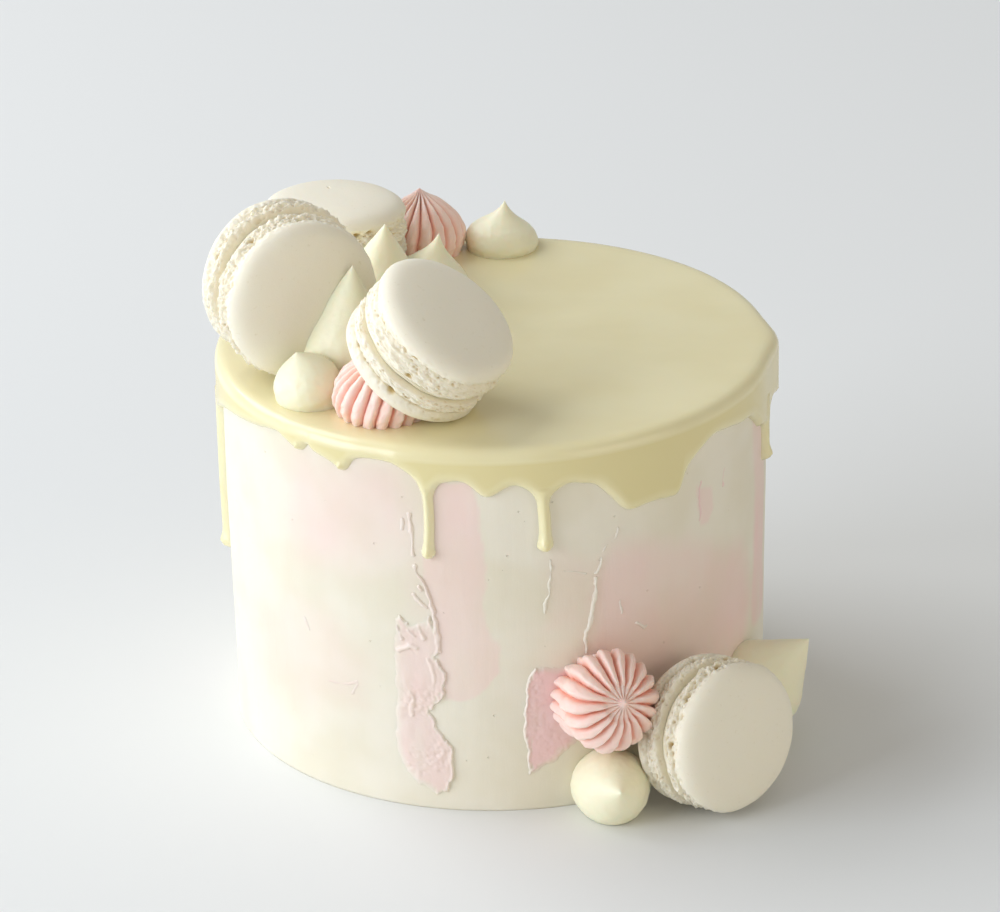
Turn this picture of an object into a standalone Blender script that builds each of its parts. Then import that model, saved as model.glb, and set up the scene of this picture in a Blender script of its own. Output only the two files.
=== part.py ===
"""A round white buttercream layer cake with a pale ganache drip, macarons and piped sweets.

The cake stands on z = 0, centred on the Z axis, with its front towards -Y. Lengths are metres.
"""
import math

import bpy
import bmesh
from mathutils import Vector

# The cake body: wall radius at a few heights, measured under the frosting
CAKE_PROFILE = ((0.0, 0.1154), (0.0805, 0.1154), (0.0824, 0.1146), (0.0831, 0.1128), (0.0831, 0.075),
                (0.0826, 0.045), (0.0823, 0.012), (0.0828, 0.0006), (0.0826, 0.0), (0.0, 0.0))
CAKE_STEPS = 96

# The ganache: a poured cap with a rounded rim, a skirt and runs down the wall
GANACHE_TOP = 0.1186
GANACHE_RIM = ((0.0800, 0.1186), (0.0825, 0.1182), (0.0841, 0.1168), (0.0848, 0.1142))
GANACHE_STEPS = 108
SKIRT_RADIUS = 0.0849
SKIRT_INSIDE = 0.080
SKIRT_REFERENCE = 0.104
SKIRT_ROUNDING = ((0.0, 0.0016), (-0.0006, 0.0003))
SKIRT_ZONE = 0.002
INSIDE_TOP = 0.1125
# Lower edge of the skirt: degrees to the right of the front, height above the base
SKIRT_EDGE = ((-180, .101), (-165, .1045), (-150, .098), (-135, .106), (-120, .103), (-105, .107), (-95, .103),
              (-88, .099), (-80, .104), (-70, .108), (-58, .1103), (-50, .1115), (-44.6, .1100), (-41, .1115),
              (-36.8, .1098), (-32.8, .1080), (-29.5, .1112), (-22, .1115), (-18.2, .1102), (-14, .105),
              (-10.5, .108), (-6.5, .1082), (-1.9, .1036), (3.7, .1072), (9.5, .103), (14.6, .1063),
              (18, .1055), (21, .1043), (24, .0988), (27.6, .0941), (31.1, .0946), (34.7, .0949),
              (39.6, .0943), (41.5, .0995), (43.5, .1034), (48.1, .1072), (50.7, .1084), (55, .1078),
              (60, .1064), (65.5, .1054), (72, .0985), (77, .097), (83, .100), (92, .0965), (98, .102),
              (110, .106), (120, .099), (135, .105), (150, .102), (165, .106), (180, .101))
# Runs of ganache: degrees, height of the lower end, half width
RUNS = ((-88, .0510, .0026), (-14, .0828, .0021), (9.5, .0848, .0024), (77.5, .0834, .0024),
        (105, .0880, .0023), (130, .0720, .0024), (152, .0930, .0022), (176, .0790, .0025),
        (-160, .0890, .0023), (-134, .0660, .0025), (-111, .0870, .0022))
RUN_TOP = 0.1125
RUN_CENTRE = 0.0837
RUN_STEPS = 8
# A run's taper into the skirt: part of its half width, distance below its top
RUN_SHOULDER = ((0.4, 0.001), (0.85, 0.007), (1.0, 0.014))
# The bead at a run's lower end: part of its half width, height above the end in half widths
RUN_BEAD = ((1.0, 2.4), (1.1, 1.2), (0.75, 0.3))
# A thick lobe of the skirt at the right-hand side: degrees, spread in degrees, extra thickness
LOBE = (90, 7, .0022)

# Gap between pieces that touch
GAP = 0.0003

# Macarons: centre, axis towards the upper or outer shell, shell radius, half filling, the height of
# that shell's foot and of the other one's, dome, and how far the other shell has slipped sideways
MACARONS = {
    "macaron_front": ((-.0192, -.0525, .1397), (.552, -.290, .782), .0226, .0010, (.0071, .0046), .0078, (0, 0, 0)),
    "macaron_left": ((-.0606, -.0188, .1434), (.469, -.882, .045), .0243, .0011, (.0055, .0045), .0080,
                     (-.0004, .0008, .0017)),
    "macaron_back": ((-.0487, .0491, .1333), (.017, .042, .999), .0222, .0011, (.0053, .0053), .0077, (0, 0, 0)),
    "macaron_base": ((.0646, -.0812, .0241), (.620, -.765, .137), .0226, .0011, (.0038, .0050), .0072,
                     (-.0012, -.0006, 0)),
}
MACARON_STEPS = 28
# The dome from near its middle out to the edge that hangs over the foot: part of the shell's radius,
# part of the dome's height
DOME_OUTLINE = ((0.52, 0.955), (0.82, 0.80), (0.96, 0.53), (1.0, 0.27))
# The foot under the dome: change of radius, part of the foot's height
FOOT_OUTLINE = ((-0.0010, 1.0), (0.0, 0.72), (0.0002, 0.32))
FOOT_INSET = 0.0010
FOOT_CRAG = 0.0006
FILLING_RECESS = 0.0020
FILLING_BULGE = 0.0004

# Piped sweets: base centre, axis, diameter, height, outline
KISSES = {
    "kiss_back": ((.0033, .0746, .1189), (.09, 0, 1), .0233, .0152, "drop"),
    "kiss_mid": ((-.0345, .0202, .1189), (.075, 0, 1), .0270, .0300, "tall"),
    "kiss_inner": ((-.0197, .0367, .1189), (.185, 0, .983), .0250, .0200, "drop"),
    "kiss_tall": ((-.0444, -.0268, .1189), (.092, -.015, 1), .0285, .0357, "tall"),
    "kiss_front": ((-.0538, -.0435, .1192), (-.27, -.05, .96), .0204, .0157, "bun"),
    "kiss_base": ((.0311, -.0772, .0056), (.13, -.90, .36), .0234, .0275, "blob"),
    "kiss_side": ((.0755, -.0400, .0155), (.720, 0, .694), .0285, .0260, "tall"),
}
KISS_STEPS = 18
# Outlines from the base up: part of the height, part of the radius
OUTLINES = {
    "drop": ((0, .96), (.12, 1), (.25, .95), (.40, .82), (.55, .56), (.70, .30), (.85, .12), (1, 0)),
    "tall": ((0, .80), (.09, .94), (.20, 1), (.33, .95), (.46, .80), (.60, .59), (.74, .40), (.87, .20), (1, 0)),
    "bun": ((0, .93), (.20, 1), (.42, .97), (.62, .84), (.78, .60), (.90, .30), (1, 0)),
    "blob": ((0, .80), (.12, .96), (.30, 1), (.50, .93), (.68, .72), (.82, .42), (.93, .15), (1, 0)),
    "cone": ((0, .90), (.15, .98), (.30, 1), (.45, .94), (.60, .80), (.75, .56), (.90, .20), (1, 0)),
    "dome": ((0, .92), (.20, 1), (.45, .97), (.65, .87), (.82, .66), (.93, .36), (1, 0)),
}

# Piped shells with ridges: base centre, axis, diameter, height, outline, ridges
ROSETTES = {
    "rosette_back": ((-.0219, .0723, .1189), (-.02, 0, 1), .0275, .0210, "cone", 18),
    "rosette_front": ((-.0327, -.0531, .1189), (0, 0, 1), .0300, .0172, "dome", 20),
    "rosette_base": ((.0302, -.0850, .0379), (.430, -.845, .330), .0308, .0150, "dome", 18),
}
GROOVE_DEPTH = 0.17
RIDGE_TWIST = math.radians(14)

# Which pieces press their shape into which softer ones
PRESSED = {
    "rosette_back": ("ganache", "macaron_back"),
    "rosette_front": ("macaron_front",),
    "rosette_base": ("wall", "macaron_base"),
    "kiss_back": ("ganache",),
    "kiss_mid": ("ganache", "macaron_back"),
    "kiss_inner": ("ganache", "macaron_back", "kiss_mid"),
    "kiss_front": ("ganache", "macaron_left", "rosette_front"),
    "kiss_tall": ("ganache", "macaron_left", "macaron_front", "kiss_front", "rosette_front"),
    "kiss_base": ("wall", "floor", "rosette_base", "macaron_base"),
    "kiss_side": ("wall", "floor", "macaron_base"),
}
# How far a sweet's base goes on below its base centre where it is pressed over an edge
SKIRT_DEPTH = {"rosette_back": .005, "kiss_back": .005, "kiss_mid": .002, "kiss_inner": .004, "kiss_front": .004,
               "kiss_tall": .002, "rosette_base": .013, "kiss_base": .004, "kiss_side": .012}
BASE_TAPER = 0.35
# How far the pressing shapes go on where nothing is pressed: below a sweet, the wall and the ganache
HULL_DEPTH = 0.014
BELOW = 0.01
HULL_BOTTOM = 0.100

# Colours as linear values with roughness
LOOKS = {
    "buttercream": ((0.875, 0.845, 0.775), 0.55),
    "ganache": ((0.775, 0.690, 0.430), 0.35),
    "macaron_shell": ((0.800, 0.765, 0.670), 0.62),
    "macaron_filling": ((0.850, 0.775, 0.480), 0.45),
    "pink_cream": ((0.810, 0.500, 0.430), 0.50),
    "ivory_cream": ((0.835, 0.775, 0.560), 0.40),
}


def clear_scene():
    """Starts from an empty scene."""
    for obj in list(bpy.data.objects):
        bpy.data.objects.remove(obj, do_unlink=True)


def new_collection(name):
    """A collection linked to the scene."""
    collection = bpy.data.collections.new(name)
    bpy.context.scene.collection.children.link(collection)
    return collection


def material(name):
    """A plain Principled material with the look's colour."""
    if name in bpy.data.materials:
        return bpy.data.materials[name]
    colour, roughness = LOOKS[name]
    mat = bpy.data.materials.new(name)
    mat.use_nodes = True
    shader = mat.node_tree.nodes["Principled BSDF"]
    shader.inputs["Base Color"].default_value = (*colour, 1.0)
    shader.inputs["Roughness"].default_value = roughness
    shader.inputs["Metallic"].default_value = 0.0
    mat.diffuse_color = (*colour, 1.0)
    return mat


def turned(name, profile, steps, collection):
    """A solid of revolution from (radius, height) points given from the top down."""
    mesh = bpy.data.meshes.new(name + "_profile")
    points = [(radius, 0.0, height) for radius, height in profile]
    mesh.from_pydata(points, [(i, i + 1) for i in range(len(points) - 1)], [])
    guide = bpy.data.objects.new(name + "_profile", mesh)
    collection.objects.link(guide)
    screw = guide.modifiers.new("Turn", 'SCREW')
    screw.axis = 'Z'
    screw.angle = math.tau
    screw.steps = steps
    screw.render_steps = steps
    screw.use_merge_vertices = True
    screw.merge_threshold = 0.00001
    solid = bpy.data.objects.new(name, evaluated_mesh(guide, name))
    collection.objects.link(solid)
    bpy.data.objects.remove(guide, do_unlink=True)
    return solid


def evaluated_mesh(obj, name):
    """The object's mesh as its modifiers leave it, with loose doubles merged."""
    depsgraph = bpy.context.evaluated_depsgraph_get()
    mesh = bpy.data.meshes.new_from_object(obj.evaluated_get(depsgraph))
    mesh.name = name
    work = bmesh.new()
    work.from_mesh(mesh)
    bmesh.ops.remove_doubles(work, verts=work.verts, dist=0.000001)
    bmesh.ops.recalc_face_normals(work, faces=work.faces)
    work.to_mesh(mesh)
    work.free()
    return mesh


def finish(obj, look, sharp=40):
    """Gives the piece its material and smooth shading."""
    obj.data.materials.clear()
    obj.data.materials.append(material(look))
    obj.data.shade_smooth()
    obj.data.set_sharp_from_angle(angle=math.radians(sharp))


def stand(obj, centre, axis):
    """Places a piece with its own Z along the axis."""
    obj.location = centre
    obj.rotation_mode = 'QUATERNION'
    obj.rotation_quaternion = Vector(axis).normalized().to_track_quat('Z', 'Y')
    bpy.context.view_layer.update()


def as_cutter(obj, cutters):
    """Moves a helper to the cutters."""
    for collection in list(obj.users_collection):
        collection.objects.unlink(obj)
    cutters.objects.link(obj)
    obj.hide_render = True
    obj.display_type = 'WIRE'
    return obj


def combine(obj, other, operation):
    """Adds a Boolean modifier."""
    boolean = obj.modifiers.new(operation.title() + " " + other.name, 'BOOLEAN')
    boolean.operation = operation
    boolean.object = other
    boolean.solver = 'EXACT'


def wobble(angle, row, seed):
    """A fixed uneven value between -1 and 1 around a piece."""
    value = math.sin(5 * angle + seed) + math.sin(11 * angle + 2.3 * seed + 1.7 * row)
    value += math.sin(17 * angle - 1.1 * seed + 3.1 * row)
    return value / 3


def blend(table, x):
    """Reads a smooth value between the two nearest entries of a table."""
    for (x0, y0), (x1, y1) in zip(table, table[1:]):
        if x0 <= x <= x1:
            part = (x - x0) / (x1 - x0)
            part = 0.5 - 0.5 * math.cos(math.pi * part)
            return y0 + (y1 - y0) * part
    return table[-1][1]


def degrees_from_front(point):
    """The angle of a point to the right of the front."""
    return math.degrees(math.atan2(point.x, -point.y))


def on_wall(degrees, radius, height):
    """A point at an angle from the front."""
    angle = math.radians(degrees)
    return Vector((radius * math.sin(angle), -radius * math.cos(angle), height))


def grown(profile, gap):
    """A turned profile moved outwards and upwards by the gap."""
    return [(radius + gap if radius > 0 else 0.0, height + gap) for radius, height in profile]


def cake_hull(name, gap, collection):
    """The cake body grown by the gap and carried on below the base."""
    profile = grown(CAKE_PROFILE[:-2], gap) + [(CAKE_PROFILE[-3][0] + gap, -BELOW), (0.0, -BELOW)]
    return turned(name, profile, CAKE_STEPS, collection)


def ganache_profile(gap=0.0):
    """The outside of the ganache, from the middle of its top down to the skirt."""
    return [(0.0, GANACHE_TOP + gap)] + grown(GANACHE_RIM, gap)


def make_ganache(parts, cutters):
    """The poured cap: turned, its lower edge moved by the skirt table, runs added, cake taken out."""
    low = SKIRT_REFERENCE
    profile = ganache_profile() + [(SKIRT_RADIUS + inset, low + rise) for inset, rise in SKIRT_ROUNDING]
    profile += [(SKIRT_INSIDE, low), (SKIRT_INSIDE, INSIDE_TOP), (0.0, INSIDE_TOP)]
    ganache = turned("ganache", profile, GANACHE_STEPS, parts)
    for vertex in ganache.data.vertices:
        if vertex.co.z < low + SKIRT_ZONE:
            degrees = degrees_from_front(vertex.co)
            vertex.co.z += blend(SKIRT_EDGE, degrees) - low
            vertex.co.xy *= 1 + LOBE[2] / SKIRT_RADIUS * math.exp(-((degrees - LOBE[0]) / LOBE[1]) ** 2)
    for number, (degrees, end, half) in enumerate(RUNS):
        outline = [(0, RUN_TOP)] + [(half * part, RUN_TOP - drop) for part, drop in RUN_SHOULDER]
        outline += [(half * part, end + half * rise) for part, rise in RUN_BEAD] + [(0, end)]
        run = turned(f"run_{number}", outline, RUN_STEPS, cutters)
        run.location = on_wall(degrees, RUN_CENTRE, 0)
        run.rotation_euler.z = math.radians(degrees)
        combine(ganache, as_cutter(run, cutters), 'UNION')
    combine(ganache, as_cutter(cake_hull("cake_hull", GAP, cutters), cutters), 'DIFFERENCE')
    finish(ganache, "ganache")
    return ganache


def dome_points(radius, low, high):
    """Points over a shell's smooth dome, from its middle down to its rounded edge."""
    return [(0.0, high)] + [(radius * across, low + (high - low) * up) for across, up in DOME_OUTLINE]


def shell_profile(radius, half, foot, dome):
    """One macaron shell: dome, crevice under its edge, then the bulging foot and its flat underside."""
    crevice = half + foot
    points = dome_points(radius, crevice, crevice + dome)
    points += [(radius + change, half + foot * part) for change, part in FOOT_OUTLINE]
    points += [(radius - FOOT_INSET, half + GAP / 2), (0.0, half + GAP / 2)]
    return points


def make_shell(name, size, seed, parts):
    """A turned shell whose foot is roughened all round."""
    radius, half, foot, dome = size
    shell = turned(name, shell_profile(radius, half, foot, dome), MACARON_STEPS, parts)
    for vertex in shell.data.vertices:
        around = math.hypot(vertex.co.x, vertex.co.y)
        if around > radius * .9 and half + foot * .1 < vertex.co.z < half + foot * 1.02:
            angle = math.atan2(vertex.co.y, vertex.co.x)
            push = 1 + FOOT_CRAG / around * wobble(angle, vertex.co.z * 2000, seed)
            vertex.co.x *= push
            vertex.co.y *= push
            vertex.co.z += FOOT_CRAG * .6 * wobble(angle, 5, seed + 3)
    finish(shell, "macaron_shell", 50)
    return shell


def make_macaron(name, parts):
    """Two shells with a filling between them."""
    centre, axis, radius, half, feet, dome, slip = MACARONS[name]
    seed = len(name) + 2.7 * list(MACARONS).index(name)
    near = make_shell(name + "_cap", (radius, half, feet[0], dome), seed, parts)
    stand(near, centre, axis)
    far = make_shell(name + "_back", (radius, half, feet[1], dome), seed + 1.4, parts)
    stand(far, Vector(centre) + Vector(slip), -Vector(axis))
    edge = radius - FILLING_RECESS
    side = half - GAP / 2
    outline = [(0, side), (edge - FILLING_BULGE, side), (edge, 0), (edge - FILLING_BULGE, -side), (0, -side)]
    filling = turned(name + "_filling", outline, MACARON_STEPS, parts)
    stand(filling, Vector(centre) + Vector(slip) / 2, axis)
    finish(filling, "macaron_filling")


def macaron_hull(name, gap, cutters):
    """The whole outer shape of a macaron, grown by the gap."""
    centre, axis, radius, half, feet, dome, slip = MACARONS[name]
    margin = gap + Vector(slip).length / 2
    around = (radius + FOOT_CRAG + margin) / math.cos(math.pi / MACARON_STEPS)
    upper, lower = [dome_points(around, half + foot, half + foot + dome + margin) for foot in feet]
    lower = [(across, -height) for across, height in reversed(lower)]
    hull = turned(name + "_hull", upper + lower, MACARON_STEPS, cutters)
    stand(hull, Vector(centre) + Vector(slip) / 2, axis)
    return as_cutter(hull, cutters)


def outline_points(outline, diameter, height, gap=0.0, depth=0.0):
    """A piped sweet's profile in metres, from its tip down to the middle of its base."""
    points = []
    for part, around in reversed(OUTLINES[outline]):
        radius = 0.0 if around == 0 else around * diameter / 2 + gap
        points.append((radius, part * height + (gap if part > .3 else 0)))
    if depth:
        points.append((points[-1][0] - BASE_TAPER * depth, -depth))
    points.append((0.0, points[-1][1]))
    return points


def make_kiss(name, parts):
    """A plain piped kiss, pulled up to a point."""
    centre, axis, diameter, height, outline = KISSES[name]
    points = outline_points(outline, diameter, height, depth=SKIRT_DEPTH.get(name, 0))
    kiss = turned(name, points, KISS_STEPS, parts)
    stand(kiss, centre, axis)
    finish(kiss, "ivory_cream")
    return kiss


def make_rosette(name, parts):
    """A kiss from a star tube: ridges that run up to the point with a slight twist."""
    centre, axis, diameter, height, outline, ridges = ROSETTES[name]
    points = outline_points(outline, diameter, height, depth=SKIRT_DEPTH.get(name, 0))
    rosette = turned(name, points, 2 * ridges, parts)
    for vertex in rosette.data.vertices:
        around = math.hypot(vertex.co.x, vertex.co.y)
        if around < .0001:
            continue
        angle = math.atan2(vertex.co.y, vertex.co.x)
        groove = 0.5 - 0.5 * math.cos(angle * ridges)
        rise = max(vertex.co.z, 0) / height
        around *= 1 - GROOVE_DEPTH * groove
        if vertex.co.z > 0:
            vertex.co.z *= 1 - GROOVE_DEPTH * groove
        angle += RIDGE_TWIST * rise
        vertex.co.x = around * math.cos(angle)
        vertex.co.y = around * math.sin(angle)
    stand(rosette, centre, axis)
    finish(rosette, "pink_cream", 60)
    return rosette


def sweet_hull(name, gap, cutters):
    """The outer shape of a kiss or rosette, grown by the gap."""
    centre, axis, diameter, height, outline = (KISSES.get(name) or ROSETTES[name])[:5]
    points = outline_points(outline, diameter, height, gap, HULL_DEPTH)
    hull = turned(name + "_hull", points, KISS_STEPS + 6, cutters)
    stand(hull, centre, axis)
    return as_cutter(hull, cutters)


def ganache_hull(cutters):
    """The ganache cap without its runs, grown by the gap."""
    profile = ganache_profile(GAP) + [(SKIRT_RADIUS + GAP, HULL_BOTTOM), (0.0, HULL_BOTTOM)]
    return as_cutter(turned("ganache_hull", profile, GANACHE_STEPS, cutters), cutters)


def floor_block(cutters):
    """Everything just above the base plane and below it."""
    bpy.ops.mesh.primitive_cube_add(size=0.4, location=(0, 0, -0.2 + GAP / 2))
    block = bpy.context.object
    block.name = "floor_block"
    return as_cutter(block, cutters)


def hulls(cutters):
    """The shapes that press into softer pieces, by the name used in the table."""
    made = {"ganache": ganache_hull(cutters), "wall": cake_hull("wall_hull", GAP, cutters),
            "floor": floor_block(cutters)}
    as_cutter(made["wall"], cutters)
    for name in sorted({item for items in PRESSED.values() for item in items} - set(made)):
        if name in MACARONS:
            made[name] = macaron_hull(name, GAP, cutters)
        else:
            made[name] = sweet_hull(name, GAP, cutters)
    return made


def main():
    """Builds the whole cake."""
    clear_scene()
    parts = new_collection("macaron_cake")
    cutters = new_collection("cutters")
    cake = turned("cake", CAKE_PROFILE, CAKE_STEPS, parts)
    finish(cake, "buttercream", 60)
    make_ganache(parts, cutters)
    for name in MACARONS:
        make_macaron(name, parts)
    pieces = {name: make_kiss(name, parts) for name in KISSES}
    pieces.update({name: make_rosette(name, parts) for name in ROSETTES})
    pressing = hulls(cutters)
    for name, items in PRESSED.items():
        for item in items:
            combine(pieces[name], pressing[item], 'DIFFERENCE')


main()
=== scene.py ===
"""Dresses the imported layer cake: buttercream, poured ganache, macarons and piped sweets.

The cake stands on z = 0 with its front towards -Y. Lengths are metres unless a name ends in _MM.
"""
import math

import bmesh
import bpy
import numpy as np
from mathutils import Matrix, Vector


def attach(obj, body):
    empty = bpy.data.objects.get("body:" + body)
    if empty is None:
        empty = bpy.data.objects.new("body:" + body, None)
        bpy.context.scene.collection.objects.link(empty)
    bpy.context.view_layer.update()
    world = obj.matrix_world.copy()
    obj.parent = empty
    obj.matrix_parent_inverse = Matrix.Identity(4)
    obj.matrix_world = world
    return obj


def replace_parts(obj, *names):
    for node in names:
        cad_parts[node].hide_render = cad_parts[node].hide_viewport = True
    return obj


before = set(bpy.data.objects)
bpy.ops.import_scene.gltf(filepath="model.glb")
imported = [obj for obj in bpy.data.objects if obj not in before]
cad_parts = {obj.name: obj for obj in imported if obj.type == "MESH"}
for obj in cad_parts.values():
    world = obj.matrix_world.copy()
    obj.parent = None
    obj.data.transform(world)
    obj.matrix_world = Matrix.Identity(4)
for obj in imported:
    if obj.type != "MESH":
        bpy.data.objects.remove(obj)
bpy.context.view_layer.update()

bl_info = {
    "name": "Macaron layer cake",
    "version": (1, 0, 0),
    "blender": (4, 5, 0),
    "location": "View3D > Sidebar > Cake",
    "description": "Builds a drip cake with macarons, piped kisses and rosettes",
    "category": "Add Mesh",
}

ROOT = "root"
MM = 0.001

# The frosted wall: height and radius, from the base up
WALL_HEIGHTS_MM = (0.0, 0.6, 12.0, 45.0, 75.0, 112.8)
WALL_RADII_MM = (82.6, 82.8, 82.3, 82.6, 83.1, 83.1)
WALL_MEAN_MM = 83.0
AROUND_MM = math.tau * WALL_MEAN_MM
WALL_COLUMNS = 600
WALL_ROWS = 144
# Extra rows where the wall curves in at its foot
WALL_FOOT_MM = (0.3, 0.6)
# The rounded rim and flat top above the wall: radius and height
CAKE_RIM_MM = ((82.4, 114.6), (80.5, 115.4), (60.0, 115.4), (30.0, 115.4))
CAKE_TOP_MM = 115.4
# Lowest height of anything that presses on the surface below the cake
FLOOR_GAP = 0.0002

# Lower edge of the ganache on the wall: degrees to the right of the front, height in millimetres
SKIRT_EDGE = ((-180, 101), (-165, 104.5), (-150, 98), (-135, 106), (-120, 103), (-105, 107), (-95, 103),
              (-88, 99), (-80, 104), (-70, 108), (-58, 110.8), (-50, 112.8), (-46.3, 110.9), (-44.6, 110.2),
              (-42.5, 111.2), (-41, 112.4), (-39.6, 111), (-36.8, 109.8), (-34.5, 108.6), (-32.8, 108),
              (-31.2, 109.2), (-29.5, 111.6), (-27.5, 112.6), (-25, 113), (-22, 112.8), (-20, 111.8),
              (-18.2, 110.2), (-16.5, 108.2), (-14, 105), (-10.5, 108), (-6.5, 108.2), (-1.9, 103.6),
              (3.7, 107.2), (9.5, 103), (14.6, 106.3), (18, 105.6), (20, 104.8), (21.5, 103.2), (23, 100.8),
              (24.6, 98), (26.2, 95.4), (27.6, 94.2), (29.4, 94.2), (32, 94.8), (34.7, 94.9), (37.3, 94.4),
              (39.2, 94.4), (40.4, 96.2), (41.4, 99.2), (42.5, 101.8), (43.8, 103.7), (45.6, 105.3),
              (48.1, 107.2), (50.7, 108.4), (55, 107.8), (60, 106.4), (65.5, 105.4), (69, 102), (72, 98.5),
              (77, 97), (83, 100), (92, 96.5), (98, 102), (110, 106), (120, 99), (135, 105), (150, 102),
              (165, 106), (180, 101))
# Runs of ganache: degrees, height of the lower end, half width, in millimetres
RUNS = ((-88, 51.0, 2.5), (-43.6, 110.6, 0.8), (-32.6, 108.1, 0.95), (-14, 82.8, 2.0), (9.5, 84.8, 2.3),
        (77.5, 83.4, 2.3), (105, 88, 2.2), (130, 72, 2.3), (152, 93, 2.1), (176, 79, 2.4), (-160, 89, 2.2),
        (-134, 66, 2.4), (-111, 87, 2.1))
# How high the runs reach up under the skirt
RUN_TOP_MM = 112.0
# How far above a run's lower end the middle of its drop lies, as part of the half width
DROP_RISE = 1.15
# The heights between which the skirt and its runs lie, and the spacing of its points
SKIRT_HEIGHTS_MM = (49.0, 114.2)
GANACHE_STEP_MM = 0.5
# The ganache: its thickness on the wall, and the radius and height of its poured rim and top
POUR_MM = 1.8
POUR_TOP_MM = 118.6
POUR_RIM_MM = ((84.85, 115.4), (84.5, 116.6), (83.9, 117.5), (83.0, 118.15), (81.7, 118.5),
               *((radius, POUR_TOP_MM) for radius in (80.0, 77.5, 74, 69, 63, 56, 48, 39, 29, 18, 8)))
POUR_INSIDE_MM = 112.5
# How far a sheet's edge is sunk into the wall, and how deep its inner skin lies
SHEET_ROOT_MM = 0.25
SKIN_DEPTH_MM = 0.75
# The thick lobe at the right-hand side: degrees, spread, extra thickness
LOBE = (90, 7, 2.2)
# Radius of the ganache on the wall, and how far in from it the lobe fades out over the rim
POUR_WALL_MM = 84.9
LOBE_FADE_MM = 6

# Pink areas spread thin into the white, as (degrees, millimetres up) corners, softness and strength
BLUSH_ZONES = (
    (((-52, 87), (-46, 108), (-28, 114), (-17, 112), (-15, 98), (-16, 86), (-25, 79), (-44, 74)),
     10.0, 0.34),
    (((-64, 50), (-40, 62), (-29, 46), (-31, 32), (-46, 25), (-66, 24)), 8.0, 0.22),
    (((-12.9, 110), (-14.6, 90), (-15.6, 74), (-13.4, 59), (-11.8, 48), (-10.6, 35.5), (-6.3, 39.4),
      (-0.6, 44.6), (-1.6, 57.5), (-3.0, 70.7), (-3.4, 90), (-4.5, 110)), 0.7, 0.48),
    (((-20.5, 100), (-13.5, 100), (-12.5, 64), (-19, 64)), 4.0, 0.16),
    (((20, 79), (25, 83), (37, 80), (61, 65), (70, 44), (63, 26), (33, 33), (18.5, 48)), 7.0, 0.52),
    (((46.4, 95.6), (50.9, 93.5), (51.5, 86.6), (50, 82), (46.4, 82.4)), 0.9, 0.42),
    (((70, 34), (70, 108), (80, 108), (80, 34)), 2.5, 0.55),
    (((10.5, 84), (10.6, 60), (18, 58), (21, 82)), 5.0, 0.20),
    (((92, 20), (100, 62), (118, 70), (126, 30)), 8.0, 0.50),
    (((138, 60), (144, 104), (168, 98), (160, 50)), 8.0, 0.40),
    (((172, 12), (176, 58), (196, 62), (204, 22)), 6.0, 0.50),
    (((212, 50), (218, 100), (240, 104), (236, 60)), 9.0, 0.40),
    (((252, 14), (256, 48), (274, 44), (270, 10)), 7.0, 0.35),
)
# Pink laid on thick with a knife: outline, thickness, side of its raised ridge (1 right, -1 left), blush
# and how pale the ridge is
THICK_PATCHES = (
    (((-22.4, 63), (-20.6, 64.2), (-18.6, 61.5), (-16.4, 62), (-14.4, 64.4), (-12.9, 60.2), (-12.2, 53.7),
      (-12.9, 50.9), (-10.9, 46.6), (-11.4, 39.5), (-14.5, 32.1), (-12.7, 26.7), (-10.3, 21.3), (-10, 11.9),
      (-11.6, 5.2), (-14, 4.6), (-18.4, 8.0), (-21.6, 12.5), (-22.9, 19.8), (-23.0, 29.9), (-22.7, 38.4),
      (-22.8, 48.4)), 0.62, 1, 0.44, 0.12),
    (((6.8, 48.3), (12, 47.6), (19, 46), (21, 36), (17, 22), (10.5, 14), (5.6, 10.8), (5.3, 17),
      (4.6, 26.1), (4.7, 37.2), (5.7, 43.7)), 0.60, -1, 0.80, 0.55),
    (((179, 22), (177.5, 33), (180, 41), (179.2, 50), (182, 57), (186, 55.5), (189.5, 58.5), (193, 54),
      (192.4, 46), (194.6, 41.5), (193.4, 33), (189.6, 28), (191.5, 20), (189, 12.5), (184, 10), (181, 14)),
     0.62, 1, 0.50, 0.2),
    (((100.8, 60), (102.6, 69), (101.4, 77), (104, 86), (107.4, 84.4), (110.6, 89.5), (112.8, 80),
      (111.2, 72.5), (113, 64), (109.8, 57), (110.4, 50), (106, 47), (103, 53)), 0.60, -1, 0.50, 0.3),
    (((222.5, 46), (224.4, 55), (223.2, 63), (225.6, 72), (225.2, 80), (229, 83.5), (233, 81),
      (235.6, 84.5), (236.4, 74), (234.8, 66), (236.6, 56), (233.4, 49), (234, 41), (229.6, 36),
      (226, 39.5)), 0.60, -1, 0.52, 0.25),
)
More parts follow.
